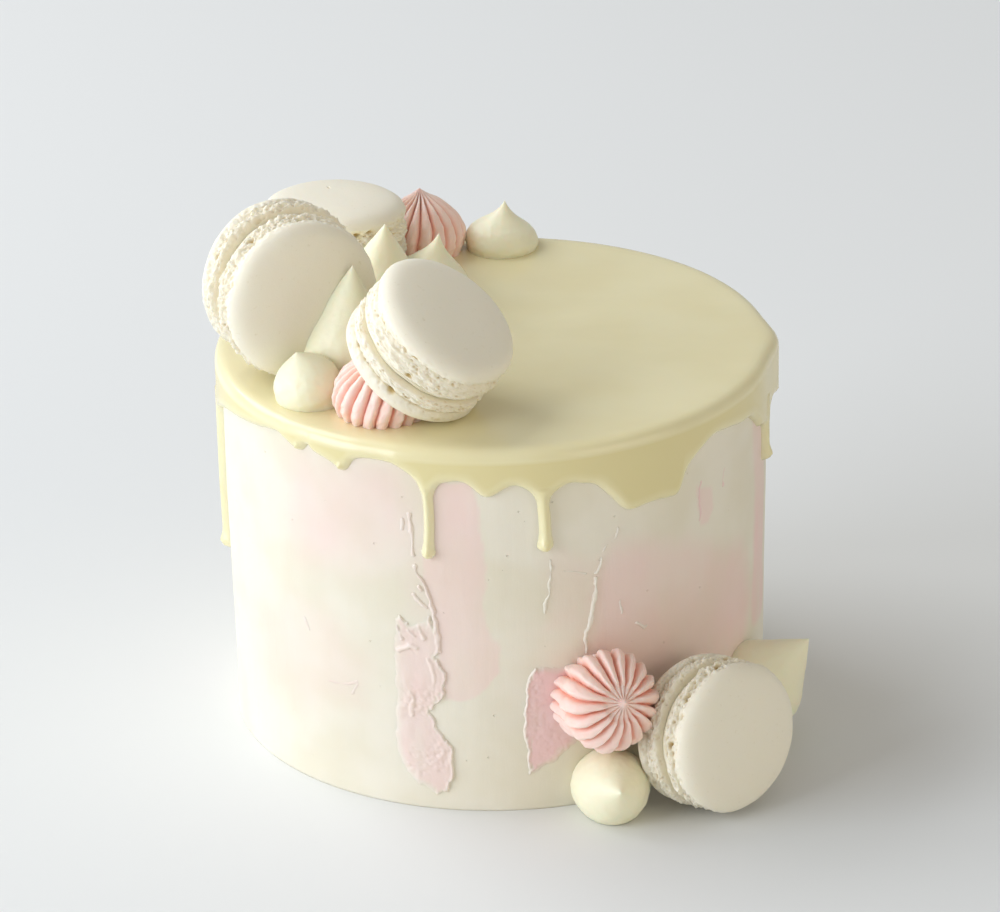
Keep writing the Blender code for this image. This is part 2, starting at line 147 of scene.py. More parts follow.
# Thin raised lines left by the knife: points, half width, height, blush, paleness
KNIFE_LINES = (
    (((-19.8, 95), (-19.4, 92)), 0.62, 0.35, 0.30, 0.2),
    (((-17.8, 97), (-17.7, 91), (-17.3, 84)), 0.72, 0.45, 0.34, 0.15),
    (((-17.2, 80.5), (-16.3, 77)), 0.65, 0.45, 0.30, 0.25),
    (((-16.2, 77), (-15.2, 74.3), (-13.8, 67.6), (-12.9, 62.2), (-12.3, 53)), 0.90, 0.80, 0.40, 0.16),
    (((-14.0, 68.2), (-13.5, 66.2)), 1.15, 0.95, 0.42, 0.1),
    (((-16.7, 73.8), (-15.9, 72.6)), 0.80, 0.60, 0.40, 0.16),
    (((-17.5, 71), (-16.2, 68), (-14.8, 67)), 0.85, 0.45, 0.30, 0.2),
    (((-21.6, 60), (-20.4, 56)), 0.70, 1.15, 0.45, 0.25),
    (((-18.9, 59), (-17.6, 57.4)), 0.65, 1.10, 0.45, 0.25),
    (((-20.9, 52.2), (-18.7, 54.3), (-17.4, 53.6)), 0.75, 1.15, 0.45, 0.25),
    (((-16.6, 60.6), (-15.7, 57)), 0.65, 1.10, 0.45, 0.25),
    (((-14.6, 50), (-13.6, 44), (-13.9, 40)), 0.80, 1.00, 0.45, 0.12),
    (((-19.5, 40), (-18.2, 36), (-18.8, 31)), 0.70, 0.90, 0.44, 0.12),
    (((10.6, 82.4), (10.3, 73.8), (9.4, 65.2)), 0.50, 0.34, 0.0, 0.35),
    (((25.1, 89.1), (24.6, 86.2), (23, 84.9), (21.9, 82.6)), 0.45, 0.26, 0.12, 0.3),
    (((21.5, 80.6), (21.1, 78.4), (20.2, 76.2)), 0.62, 0.48, 0.05, 0.45),
    (((20.2, 74.4), (19.9, 67.3), (18.9, 59.9), (17.9, 56.9), (18.3, 50.2)), 0.58, 0.50, 0.05, 0.45),
    (((13.5, 78.2), (15.5, 77.7), (18.1, 76.3)), 0.45, 0.18, 0.05, 0.5),
    (((25.7, 68.8), (25.8, 61.1)), 0.34, 0.30, 0.25, 0.4),
    (((29.4, 56.5), (31.2, 54.2), (33, 55.2)), 0.36, 0.35, 0.25, 0.4),
    (((46.6, 95.2), (46.6, 88.8), (46.4, 82.6)), 0.55, 0.20, 0.75, 0.0),
    (((54.8, 95.1), (54.3, 89.6)), 0.50, 0.16, 0.60, 0.0),
    (((-44.8, 54.6), (-43.5, 50.8)), 0.60, 0.22, 0.25, 0.1),
    (((-38.5, 35.8), (-34.2, 36.4), (-31.0, 38.4)), 0.85, 0.26, 0.35, 0.1),
    (((-32.4, 33.8), (-30.8, 37.6)), 0.65, 0.24, 0.30, 0.1),
    (((146, 96), (147, 82), (145, 70)), 0.45, 0.45, 0.20, 0.5),
    (((204, 78), (204.8, 70), (204.4, 62)), 0.45, 0.30, 0.15, 0.3),
    (((262, 60), (263, 46)), 0.45, 0.40, 0.20, 0.4),
)
# The heights between which the thick pink lies, and the spacing of its points
PATCH_HEIGHTS_MM = (3.0, 100.0)
PATCH_STEP_MM = 0.34
# How far to the side a patch is looked at again, to tell which of its edges is near
PROBE_MM = 0.4

# Macarons: centre, axis towards the upper or outer shell, shell radius, half filling, the height of that
# shell's foot and of the other one's, dome, how far the other shell has slipped, and how craggy they are
MACARONS = {
    "front": ((-.0192, -.0525, .1397), (.552, -.290, .782), .0226, .0010, (.0071, .0046), .0078,
              (0, 0, 0), .0006),
    "left": ((-.0606, -.0188, .1434), (.469, -.882, .045), .0243, .0011, (.0055, .0045), .0080,
             (-.0004, .0008, .0017), .0014),
    "back": ((-.0487, .0491, .1333), (.017, .042, .999), .0222, .0011, (.0053, .0053), .0077,
             (0, 0, 0), .0011),
    "base": ((.0646, -.0812, .0241), (.620, -.765, .137), .0226, .0011, (.0038, .0050), .0072,
             (-.0012, -.0006, 0), .0013),
}
SHELL_SEGMENTS = 400
SHELL_ROWS = 112
# A shell's profile from the top of the dome to the middle of its underside: place along it from 0 to 1,
# then part of the radius, part of the dome's height and part of the foot's height
SHELL_PROFILE = ((0, 0, 1, 1), (.06, .25, .992, 1), (.11, .45, .965, 1), (.16, .62, .915, 1),
                 (.20, .75, .85, 1), (.235, .84, .775, 1), (.27, .905, .68, 1), (.305, .955, .555, 1),
                 (.335, .987, .42, 1), (.36, 1.0, .29, 1), (.385, .993, .16, 1), (.405, .975, .06, 1),
                 (.42, .955, 0, 1), (.435, .93, 0, .97), (.46, .95, 0, .88), (.52, .98, 0, .72),
                 (.62, 1.005, 0, .46), (.72, 1.008, 0, .26), (.80, .985, 0, .10), (.85, .945, 0, .02),
                 (.89, .86, 0, 0), (1, 0, 0, 0))
# Where along the profile the crags, the soft folds of the foot, its crumb, the dome's pinholes and the
# ripple of the dome's edge lie
CRAG_ZONE = [(0, 0), (.30, 0), (.36, .3), (.42, .9), (.46, 1), (.54, .9), (.62, .75), (.78, .65),
             (.86, .35), (.90, 0), (1, 0)]
FOLD_ZONE = [(0, 0), (.42, 0), (.50, .7), (.62, 1), (.76, 1), (.84, .4), (.88, 0), (1, 0)]
CRUMB_ZONE = [(0, 0), (.38, 0), (.42, 1), (.88, 1), (.90, 0), (1, 0)]
DOME_ZONE = [(0, 1), (.30, 1), (.35, 0), (1, 0)]
LIP_ZONE = [(0, 0), (.33, 0), (.39, .8), (.42, 1), (.46, .3), (.50, 0), (1, 0)]
# How far the filling stays inside the shells, its points round and its rings from one shell to the other
FILLING_RECESS = 0.0020
FILLING_SEGMENTS = 240
FILLING_RINGS = 9
# How strongly the painted shade darkens the crag hollows, for each metre of their height
PIT_SHADE = 850

# Piped kisses: base centre, axis, width, height, outline, depth of the base, lean of the tip
KISSES = {
    "back": ((.0033, .0746, .1189), (.09, 0, 1), .0233, .0152, "drop", .005, .0004),
    "mid": ((-.0345, .0202, .1189), (.075, 0, 1), .0270, .0300, "tall", .002, -.0004),
    "inner": ((-.0197, .0367, .1189), (.185, 0, .983), .0250, .0200, "drop", .004, .0003),
    "tall": ((-.0444, -.0268, .1189), (.092, -.015, 1), .0285, .0357, "tall", .002, .0006),
    "front": ((-.0538, -.0435, .1192), (-.27, -.05, .96), .0204, .0157, "bun", .004, 0.0),
    "base": ((.0311, -.0772, .0056), (.13, -.90, .36), .0234, .0275, "blob", .004, 0.0),
    "side": ((.0755, -.0400, .0155), (.720, 0, .694), .0285, .0260, "tall", .012, .0006),
}
# Piped rosettes: base centre, axis, width, height, outline, depth of the base, ridges, part of the radius
# inside which the ridges flatten out, depth of a groove as part of the radius
ROSETTES = {
    "back": ((-.0219, .0723, .1189), (-.02, 0, 1), .0275, .0210, "cone", .005, 17, -.5, .15),
    "front": ((-.0327, -.0531, .1189), (0, 0, 1), .0300, .0172, "dome", .001, 20, -.5, .17),
    "base": ((.0302, -.0850, .0379), (.430, -.845, .330), .0308, .0150, "dome", .013, 18, .40, .21),
}
# Outlines from the base up: part of the height, part of the radius
OUTLINES = {
    "drop": ((0, .96), (.12, 1), (.25, .95), (.40, .82), (.55, .56), (.70, .30), (.85, .12), (1, 0)),
    "tall": ((0, .80), (.09, .94), (.20, 1), (.33, .95), (.46, .80), (.60, .59), (.74, .40), (.87, .20),
             (1, 0)),
    "bun": ((0, .93), (.20, 1), (.42, .96), (.60, .82), (.76, .57), (.89, .27), (1, 0)),
    "blob": ((0, .80), (.12, .96), (.30, 1), (.50, .93), (.68, .72), (.82, .42), (.93, .15), (1, 0)),
    "cone": ((0, .90), (.15, .98), (.30, 1), (.45, .94), (.60, .80), (.75, .56), (.90, .20), (1, 0)),
    "dome": ((0, .92), (.20, 1), (.45, .97), (.65, .87), (.82, .66), (.93, .36), (1, 0)),
}
# How fast a sweet narrows below its base, where it sinks into what it stands on
BASE_TAPER = 0.35
# Points round a kiss, round each ridge of a rosette, up a sweet's side and on its profile curve
KISS_SEGMENTS = 120
SEGMENTS_PER_RIDGE = 18
SWEET_ROWS = 96
PROFILE_POINTS = 33
# How near to each other points are joined at a turned form's seam and poles
WELD = 0.000004

# The camera, fitted to the cake's top, foot and wall: field in millimetres on a 36 mm sensor
CAMERA_LENS = 174.66
CAMERA_DISTANCE = 1.494
CAMERA_ELEVATION = math.radians(24.46)
CAMERA_ROLL = math.radians(-1.285)
CAMERA_TARGET = (0.00134, 0.0, 0.079)
# The soft lights: name, place, power as a share of the key setting, and colour
LIGHTS = (("window", (-1.960, -0.914, 0.787), 1.29, "#EBF2FF"),
          ("far_window", (-1.408, 0.813, 1.626), 1.0, "#F6F9FF"),
          ("room_side", (1.723, -1.446, 0.558), 0.36, "#FFF1DC"))
LIGHT_SIZE = 1.6
LIGHT_TARGET = (0, 0, 0.08)


def linear(code):
    """An sRGB hex colour as linear values."""
    parts = [int(code[i:i + 2], 16) / 255 for i in (1, 3, 5)]
    return tuple(c / 12.92 if c <= 0.04045 else ((c + 0.055) / 1.055) ** 2.4 for c in parts)


def tone(label, code, note):
    """A colour setting whose default is an sRGB hex colour."""
    return bpy.props.FloatVectorProperty(name=label, description=note, subtype='COLOR',
                                         default=linear(code), min=0, max=1)


class Number:
    """A number that a node tree works out. Arithmetic on it adds Math nodes to the tree."""

    def __init__(self, tree, socket):
        self.tree = tree
        self.socket = socket

    def calc(self, operation, other=None, clamp=False, swapped=False):
        """The result of a Math node on this number and another, in the other order if swapped."""
        terms = (other, self) if swapped else (self, other)
        inputs = {place: term for place, term in enumerate(terms) if term is not None}
        node = add(self.tree, "ShaderNodeMath", inputs, operation=operation, use_clamp=clamp)
        return Number(self.tree, node.outputs[0])

    def __add__(self, other):
        return self.calc('ADD', other)

    def __sub__(self, other):
        return self.calc('SUBTRACT', other)

    def __rsub__(self, other):
        return self.calc('SUBTRACT', other, swapped=True)

    def __mul__(self, other):
        return self.calc('MULTIPLY', other)

    def __pow__(self, other):
        return self.calc('POWER', other)


def add(tree, kind, inputs=None, curve=None, **settings):
    """Adds a node with its settings; each input gets a value or a link."""
    node = tree.nodes.new(kind)
    for label, value in settings.items():
        setattr(node, label, value)
    for key, value in (inputs or {}).items():
        source = value.socket if isinstance(value, Number) else value
        if isinstance(source, bpy.types.NodeSocket):
            tree.links.new(source, node.inputs[key])
        else:
            node.inputs[key].default_value = source
    if curve:
        line = node.mapping.curves[0]
        while len(line.points) < len(curve):
            line.points.new(0.5, 0.5)
        for point, place in zip(line.points, sorted(curve)):
            point.location = place
            point.handle_type = 'AUTO_CLAMPED'
        node.mapping.update()
    return node


def curved(value, points):
    """A number read from a smooth curve through (place, value) pairs."""
    node = add(value.tree, "ShaderNodeFloatCurve", {"Value": value}, curve=points)
    return Number(value.tree, node.outputs[0])


def noise(tree, place, size, detail=2.0, roughness=0.5):
    """Noise from 0 to 1 with features of a given size."""
    node = add(tree, "ShaderNodeTexNoise", {"Vector": place, "Scale": 1 / size, "Detail": detail,
                                            "Roughness": roughness})
    return Number(tree, node.outputs[0])


def uneven(tree, place, size, detail=2.0, roughness=0.5):
    """Noise with features of a given size, centred on zero and mostly within half of one."""
    return noise(tree, place, size, detail, roughness) - 0.5


def stepped(value, low, high):
    """Goes smoothly from 0 at the low value to 1 at the high one."""
    node = add(value.tree, "ShaderNodeMapRange", {"Value": value, "From Min": low, "From Max": high},
               interpolation_type='SMOOTHSTEP')
    return Number(value.tree, node.outputs[0])


def value_noise(x, y, seed, period=64):
    """Smooth uneven values between -1 and 1 over cells of 1, repeating in x after the period."""
    table = np.random.default_rng(seed).uniform(-1, 1, (period, 64))
    xi, yi = np.floor(x).astype(int), np.floor(y).astype(int)
    xf, yf = x - xi, y - yi
    xf, yf = xf * xf * (3 - 2 * xf), yf * yf * (3 - 2 * yf)
    low = table[xi % period, yi % 64] * (1 - xf) + table[(xi + 1) % period, yi % 64] * xf
    high = table[xi % period, (yi + 1) % 64] * (1 - xf) + table[(xi + 1) % period, (yi + 1) % 64] * xf
    return low * (1 - yf) + high * yf


def wall_noise(s, z, size_mm, seed, stretch=1.0):
    """Uneven values over the wall with features of a given size; stretch makes them taller."""
    period = max(4, round(AROUND_MM / size_mm))
    x = s / AROUND_MM * period
    y = z / size_mm / stretch
    return value_noise(x, y, seed, period) * 0.7 + value_noise(2 * x, 2 * y, seed + 50, 2 * period) * 0.3


def eased(table, x):
    """Reads a smooth value between the entries of a table, on a curve through all of them."""
    xs = np.array([entry[0] for entry in table], float)
    ys = np.array([entry[1] for entry in table], float)
    slopes = np.concatenate([[0], (ys[2:] - ys[:-2]) / (xs[2:] - xs[:-2]), [0]])
    i = np.clip(np.searchsorted(xs, x) - 1, 0, len(xs) - 2)
    step = xs[i + 1] - xs[i]
    part = np.clip((x - xs[i]) / step, 0, 1)
    rest = 1 - part
    bend = part * rest * step * (slopes[i] * rest - slopes[i + 1] * part)
    return ys[i] * rest ** 2 * (1 + 2 * part) + ys[i + 1] * part ** 2 * (3 - 2 * part) + bend


def join_smoothly(a, b, width):
    """The larger of two fields, with a rounded hollow where they meet."""
    part = np.clip(0.5 + 0.5 * (a - b) / width, 0, 1)
    return a * part + b * (1 - part) + width * part * (1 - part)


def arc(degrees):
    """Millimetres along the wall from the front."""
    return math.radians(degrees) * WALL_MEAN_MM


def beyond(s, middle):
    """Millimetres along the wall from a middle, counted the short way round."""
    return (s - middle + AROUND_MM / 2) % AROUND_MM - AROUND_MM / 2


def near_outline(s, points):
    """Millimetres along the wall, counted on the side of the cake where the points lie."""
    middle = arc(sum(a for a, _ in points) / len(points))
    return beyond(s, middle) + middle


def degrees_at(s):
    """Degrees to the right of the front, from -180 to 180."""
    return (np.degrees(s / WALL_MEAN_MM) + 180) % 360 - 180


def distance_to_line(s, z, points):
    """Millimetres from each place to a line of (degrees, height) points."""
    best = np.full(np.shape(s), 1e9)
    for (a0, z0), (a1, z1) in zip(points, points[1:]):
        s0, s1 = arc(a0), arc(a1)
        length = (s1 - s0) ** 2 + (z1 - z0) ** 2
        part = np.clip(((s - s0) * (s1 - s0) + (z - z0) * (z1 - z0)) / length, 0, 1)
        best = np.minimum(best, np.hypot(s - s0 - part * (s1 - s0), z - z0 - part * (z1 - z0)))
    return best


def depth_in_outline(s, z, corners):
    """Millimetres inside a closed outline of (degrees, height) corners, negative outside."""
    closed = list(corners) + [corners[0]]
    inside = np.zeros(np.shape(s), bool)
    for (a0, z0), (a1, z1) in zip(closed, closed[1:]):
        s0, s1 = arc(a0), arc(a1)
        crosses = (z0 > z) != (z1 > z)
        inside ^= crosses & (s < s0 + (z - z0) * (s1 - s0) / ((z1 - z0) or 1e-9))
    return np.where(inside, 1, -1) * distance_to_line(s, z, closed)


def wall_radius(z):
    """The frosted wall's radius in millimetres at a height."""
    return np.interp(z, WALL_HEIGHTS_MM, WALL_RADII_MM)


def wall_points(s, radius, z):
    """Places in metres from millimetres along the wall, outwards and up."""
    angle = s / WALL_MEAN_MM
    return np.stack([radius * np.sin(angle), -radius * np.cos(angle), z], axis=-1).reshape(-1, 3) * MM


def wall_waves(s, z):
    """How far the spread buttercream stands out from a true round, in millimetres."""
    wide = wall_noise(s, z, 34, 1, 1.4) * 0.22
    swept = wall_noise(s, z, 7, 2, 6.0) * 0.07 + wall_noise(s, z, 2.6, 3, 9.0) * 0.03
    return (wide + swept) * np.clip(z / 6, 0, 1)


def blush_at(s, z):
    """How pink the spread buttercream is, from 0 to 1."""
    wobble_s = wall_noise(s, z, 9, 11, 1.5) * 2.6 + wall_noise(s, z, 3, 12) * 0.6
    wobble_z = wall_noise(s, z, 9, 13, 1.5) * 3.2 + wall_noise(s, z, 3, 14) * 0.6
    cloud = 0.80 + 0.30 * wall_noise(s, z, 12, 15, 1.8) + 0.15 * wall_noise(s, z, 4, 16, 3.0)
    amount = np.zeros(np.shape(s))
    for corners, softness, strength in BLUSH_ZONES:
        depth = depth_in_outline(near_outline(s, corners) + wobble_s, z + wobble_z, corners)
        edge = np.clip(0.5 + depth / (2 * softness), 0, 1)
        amount = np.maximum(amount, strength * edge * edge * (3 - 2 * edge))
    return np.clip(amount * cloud, 0, 1)


def dressed(obj, material):
    """Turns the faces outwards, smooths them, and gives the piece its finish and its body."""
    mesh = obj.data
    work = bmesh.new()
    work.from_mesh(mesh)
    bmesh.ops.recalc_face_normals(work, faces=work.faces)
    work.to_mesh(mesh)
    work.free()
    mesh.materials.clear()
    mesh.materials.append(material)
    mesh.shade_smooth()
    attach(obj, ROOT)
    return obj


def finished_piece(name, points, faces, material, attributes=None):
    """A closed mesh object with outward faces, riding on the cake."""
    mesh = bpy.data.meshes.new(name)
    mesh.from_pydata(np.asarray(points).tolist(), [], faces)
    for label, values in (attributes or {}).items():
        layer = mesh.attributes.new(label, 'FLOAT', 'POINT')
        layer.data.foreach_set("value", np.asarray(values, np.float32))
    obj = bpy.data.objects.new(name, mesh)
    bpy.context.scene.collection.objects.link(obj)
    return dressed(obj, material)


def kept_cells(inside):
    """The cells with a corner inside, as rows of four point numbers, on a grid that closes on itself."""
    columns, height = inside.shape
    i, j = np.meshgrid(np.arange(columns), np.arange(height - 1), indexing="ij")
    k = (i + 1) % columns
    corners = (i * height + j, k * height + j, k * height + j + 1, i * height + j + 1)
    cells = np.stack(corners, -1).reshape(-1, 4)
    grid = inside.reshape(-1)[cells].any(axis=1).reshape(i.shape)
    # Cells that would touch at one corner only are joined by a third
    beside = np.roll(grid, -1, axis=0)
    grid[:, 1:] |= grid[:, :-1] & beside[:, 1:] & ~beside[:, :-1]
    beside = np.roll(grid, -1, axis=0)
    grid[:, :-1] |= grid[:, 1:] & beside[:, :-1] & ~beside[:, 1:]
    return cells[grid.reshape(-1)]


def drawn_to_edge(field, s, z, outside, step):
    """Moves the points that lie outside onto the line where the field is zero."""
    small = step / 4
    for _ in range(3):
        here = field(s, z)
        slope_s = (field(s + small, z) - field(s - small, z)) / (2 * small)
        slope_z = (field(s, z + small) - field(s, z - small)) / (2 * small)
        length = np.maximum(slope_s ** 2 + slope_z ** 2, 0.05)
        move = np.where(outside, np.clip(-here / length, -step, step), 0)
        s, z = s + move * slope_s, z + move * slope_z
    return s, z


def wall_sheet(field, lift, heights, step):
    """Outer and inner skin all round the wall wherever the field is positive, as lists and arrays.

    The lift says how far the skin stands out. The heights are the lowest and the highest to look at.
    """
    low, high = heights
    s = np.linspace(-AROUND_MM / 2, AROUND_MM / 2, round(AROUND_MM / step), endpoint=False)
    s, z = np.meshgrid(s, np.linspace(low, high, round((high - low) / step) + 1), indexing="ij")
    inside = field(s, z) > 0
    kept = kept_cells(inside)
    used = np.unique(kept)
    index = np.full(s.size, -1)
    index[used] = np.arange(len(used))
    quads = index[kept]
    top_row = index.reshape(s.shape)[:, -1]
    outside = ~inside.reshape(-1)[used]
    s, z = drawn_to_edge(field, s.reshape(-1)[used], z.reshape(-1)[used], outside, step)
    here = np.where(outside, 0, field(s, z))
    outer = wall_points(s, wall_radius(z) + lift(here, s, z), z)
    inner = wall_points(s, wall_radius(z) - SKIN_DEPTH_MM, z)
    edges = np.concatenate([quads[:, [0, 1]], quads[:, [1, 2]], quads[:, [2, 3]], quads[:, [3, 0]]])
    _, first, count = np.unique(np.sort(edges, axis=1), axis=0, return_index=True, return_counts=True)
    rim = edges[first[count == 1]]
    return {"outer": outer, "inner": inner, "quads": quads, "rim": rim, "top": top_row, "s": s, "z": z}


def rounded_edge(depth, width):
    """From 0 at an edge to 1 at a width inside it, rising like a bead of thick liquid."""
    part = np.clip(depth / width, 0, 1)
    return (1 - (1 - part) ** 2) ** 0.72


def skirt_field(s, z):
    """Millimetres inside the outline of the ganache on the wall."""
    degrees = degrees_at(s)
    slope = (eased(SKIRT_EDGE, degrees + 0.3) - eased(SKIRT_EDGE, degrees - 0.3)) / arc(0.6)
    field = (z - eased(SKIRT_EDGE, degrees) - wall_noise(s, z, 7, 21) * 0.25) / np.sqrt(1 + slope ** 2)
    runs = np.full(np.shape(s), -50.0)
    for number, (place, end, half) in enumerate(RUNS):
        along = beyond(s, arc(place) + 0.35 * np.sin(z / 5.5 + number))
        drop = end + DROP_RISE * half
        below = np.maximum(drop - z, 0)
        width = half * (0.84 + 0.28 * np.exp(-((z - drop) / 2.4) ** 2))
        one = width - np.hypot(along, below)
        runs = np.maximum(runs, np.where(z < RUN_TOP_MM, one, one - (z - RUN_TOP_MM)))
    return join_smoothly(field, runs, 3.2)


def ganache_lift(depth, s, z):
    """How far the ganache stands out from the wall, in millimetres."""
    lift = -SHEET_ROOT_MM + (POUR_MM + SHEET_ROOT_MM) * rounded_edge(depth, 2.3)
    for place, end, half in RUNS:
        drop = end + DROP_RISE * half
        nearby = np.exp(-(beyond(s, arc(place)) / (half * 0.8)) ** 2)
        swollen = 0.95 * np.exp(-((z - drop) / (half * 0.9)) ** 2)
        rounded = 0.35 * ((z > drop) & (z < RUN_TOP_MM - 6))
        lift += nearby * (swollen + rounded) * np.clip(depth, 0, 1)
    lobe_at, spread, thicker = LOBE
    return lift + thicker * np.exp(-((degrees_at(s) - lobe_at) / spread) ** 2) * np.clip(depth / 3, 0, 1)


def patch_fields(s, z):
    """Depth inside each thick patch and knife line, with ragged edges."""
    ragged_s = wall_noise(s, z, 3.4, 31) * 0.8 + wall_noise(s, z, 1.1, 32) * 0.30
    ragged_z = wall_noise(s, z, 3.4, 33) + wall_noise(s, z, 1.1, 34) * 0.30
    waver = 0.55 * wall_noise(s, z, 3.4, 35)
    fields = [depth_in_outline(near_outline(s, patch[0]) + ragged_s, z + ragged_z, patch[0])
              for patch in THICK_PATCHES]
    fields += [half + waver - distance_to_line(near_outline(s, points) + ragged_s * 0.9, z, points)
               for points, half, _, _, _ in KNIFE_LINES]
    return fields


def patch_depth(s, z):
    """Depth inside the nearest patch or line."""
    return np.max(patch_fields(s, z), axis=0)


def patch_shape(s, z):
    """How far the thick pink stands out in millimetres, how pink it is, and how pale its ridges are."""
    fields = patch_fields(s, z)
    beside = patch_fields(s + PROBE_MM, z)
    crumbly = np.clip(0.35 + wall_noise(s, z, 9, 39), 0, 1)
    grain = wall_noise(s, z, 2.6, 36, 2.0) * 0.14 + wall_noise(s, z, 1.1, 37) * 0.34 * crumbly
    mottled = 0.14 * wall_noise(s, z, 5, 38, 2.0)
    lift = np.full(np.shape(s), -SHEET_ROOT_MM)
    pink = blush_at(s, z)
    pale = np.zeros(np.shape(s))
    for (_, thickness, side, blush, paleness), inside, right in zip(THICK_PATCHES, fields, beside):
        facing = np.clip(-side * (right - inside) / PROBE_MM, 0, 1)
        ridge = facing * np.exp(-((inside - 0.55) / 0.42) ** 2)
        width = 3.4 - 2.6 * facing
        body = (thickness + grain) * rounded_edge(inside - 0.1 * width, width) + 0.45 * ridge
        raised = body * (1 + SHEET_ROOT_MM) - SHEET_ROOT_MM
        lift = np.maximum(lift, np.where(inside > 0, raised, -SHEET_ROOT_MM))
        share = np.clip(inside / width, 0, 1)
        pink = np.maximum(pink * (1 - share), (blush + mottled) * share)
        pale = np.maximum(pale, paleness * ridge * (inside > 0))
    for (_, half, height, blush, paleness), inside in zip(KNIFE_LINES, fields[len(THICK_PATCHES):]):
        crest = rounded_edge(inside, half)
        lift = np.maximum(lift, (height + SHEET_ROOT_MM) * crest - SHEET_ROOT_MM)
        pink = pink * (1 - crest) + blush * crest
        pale = np.maximum(pale, paleness * crest)
    return lift, np.clip(pink, 0, 1), np.clip(pale, 0, 1)


def patch_lift(depth, s, z):
    """How far the thick pink stands out, sunk into the wall at its edge."""
    return np.where(depth > 0, patch_shape(s, z)[0], -SHEET_ROOT_MM)


def closed_sheet(name, sheet, material, attributes=None):
    """The outer and inner skins joined along their edge."""
    count = len(sheet["outer"])
    faces = sheet["quads"].tolist() + (sheet["quads"][:, ::-1] + count).tolist()
    faces += [(a, b, b + count, a + count) for a, b in sheet["rim"].tolist()]
    points = np.concatenate([sheet["outer"], sheet["inner"]])
    return finished_piece(name, points, faces, material, attributes)


def ring_between(first, second):
    """Faces between two rings of points, given as two lists of point numbers."""
    count = len(first)
    return [(first[i], first[(i + 1) % count], second[(i + 1) % count], second[i]) for i in range(count)]


def turned_rings(rings, columns, start, last=None, base=None):
    """Faces between rings of points that lie one after another, and fans to a last and a base point."""
    numbers = [list(range(start + ring * columns, start + (ring + 1) * columns)) for ring in range(rings)]
    faces = []
    for lower, upper in zip(numbers, numbers[1:]):
        faces += ring_between(lower, upper)
    if last is not None:
        faces += [(numbers[-1][i], numbers[-1][(i + 1) % columns], last) for i in range(columns)]
    if base is not None:
        faces += [(numbers[0][(i + 1) % columns], numbers[0][i], base) for i in range(columns)]
    return faces


def frosted_cake(material):
    """The cake: a spread wall that waves a little, a rounded rim and a flat top and underside."""
    s = np.linspace(0, AROUND_MM, WALL_COLUMNS, endpoint=False)
    z = np.sort(np.append(np.linspace(0, WALL_HEIGHTS_MM[-1], WALL_ROWS), WALL_FOOT_MM))
    z_all, s_all = np.meshgrid(z, s, indexing="ij")
    wall = wall_points(s_all, wall_radius(z_all) + wall_waves(s_all, z_all), z_all)
    blush = blush_at(s_all, z_all).reshape(-1)
    rim = [wall_points(s, np.full(WALL_COLUMNS, r), np.full(WALL_COLUMNS, h)) for r, h in CAKE_RIM_MM]
    points = np.concatenate([wall] + rim + [[(0, 0, CAKE_TOP_MM * MM)], [(0, 0, 0)]])
    faces = turned_rings(len(z) + len(rim), WALL_COLUMNS, 0, last=len(points) - 2, base=len(points) - 1)
    blush = np.concatenate([blush, np.zeros(len(points) - len(blush))])
    return finished_piece("frosted_cake", points, faces, material, {"blush": blush})


def thick_pink(material):
    """The relief of the pink laid on with a knife, all round the wall."""
    sheet = wall_sheet(patch_depth, patch_lift, PATCH_HEIGHTS_MM, PATCH_STEP_MM)
    _, pink, pale = patch_shape(sheet["s"], sheet["z"])
    marks = {"blush": np.tile(pink, 2), "pale": np.tile(pale, 2)}
    return closed_sheet("knife_patches", sheet, material, marks)


def poured_ganache(material):
    """The ganache: a skirt with runs on the wall, joined to rings over the rim and the top."""
    sheet = wall_sheet(skirt_field, ganache_lift, SKIRT_HEIGHTS_MM, GANACHE_STEP_MM)
    outer, order = sheet["outer"], sheet["top"].tolist()
    columns, count = len(order), len(outer)
    s = sheet["s"][order]
    lobe = np.linalg.norm(outer[order][:, :2], axis=1) / MM - WALL_RADII_MM[-1] - POUR_MM
    rings = []
    for radius, height in POUR_RIM_MM:
        waves = wall_noise(s, np.full(columns, radius), 30, 41) * 0.10 * min(1, radius / 20)
        part = max(0.0, 1 - (POUR_WALL_MM - radius) / LOBE_FADE_MM)
        rings.append(wall_points(s, radius + lobe * part, height + waves))
    under = wall_points(s, np.full(columns, WALL_RADII_MM[-1] - SKIN_DEPTH_MM),
                        np.full(columns, POUR_INSIDE_MM))
    points = np.concatenate([outer, sheet["inner"]] + rings + [[(0, 0, POUR_TOP_MM * MM)], under,
                                                               [(0, 0, POUR_INSIDE_MM * MM)]])
    first = 2 * count
    below = first + len(rings) * columns + 1
    top = set(order)
    faces = sheet["quads"].tolist() + (sheet["quads"][:, ::-1] + count).tolist()
    faces += [(a, b, b + count, a + count) for a, b in sheet["rim"].tolist() if not (a in top and b in top)]
    faces += ring_between(order, range(first, first + columns))
    faces += turned_rings(len(rings), columns, first, last=below - 1)
    faces += ring_between([place + count for place in order], range(below, below + columns))
    faces += turned_rings(1, columns, below, base=below + columns)
    thick = np.zeros(len(points))
    thick[:count] = np.clip(skirt_field(sheet["s"], sheet["z"]) / 4, 0, 1)
    thick[first:below - 1] = 0.3
    return finished_piece("poured_ganache", points, faces, material, {"thick": thick})


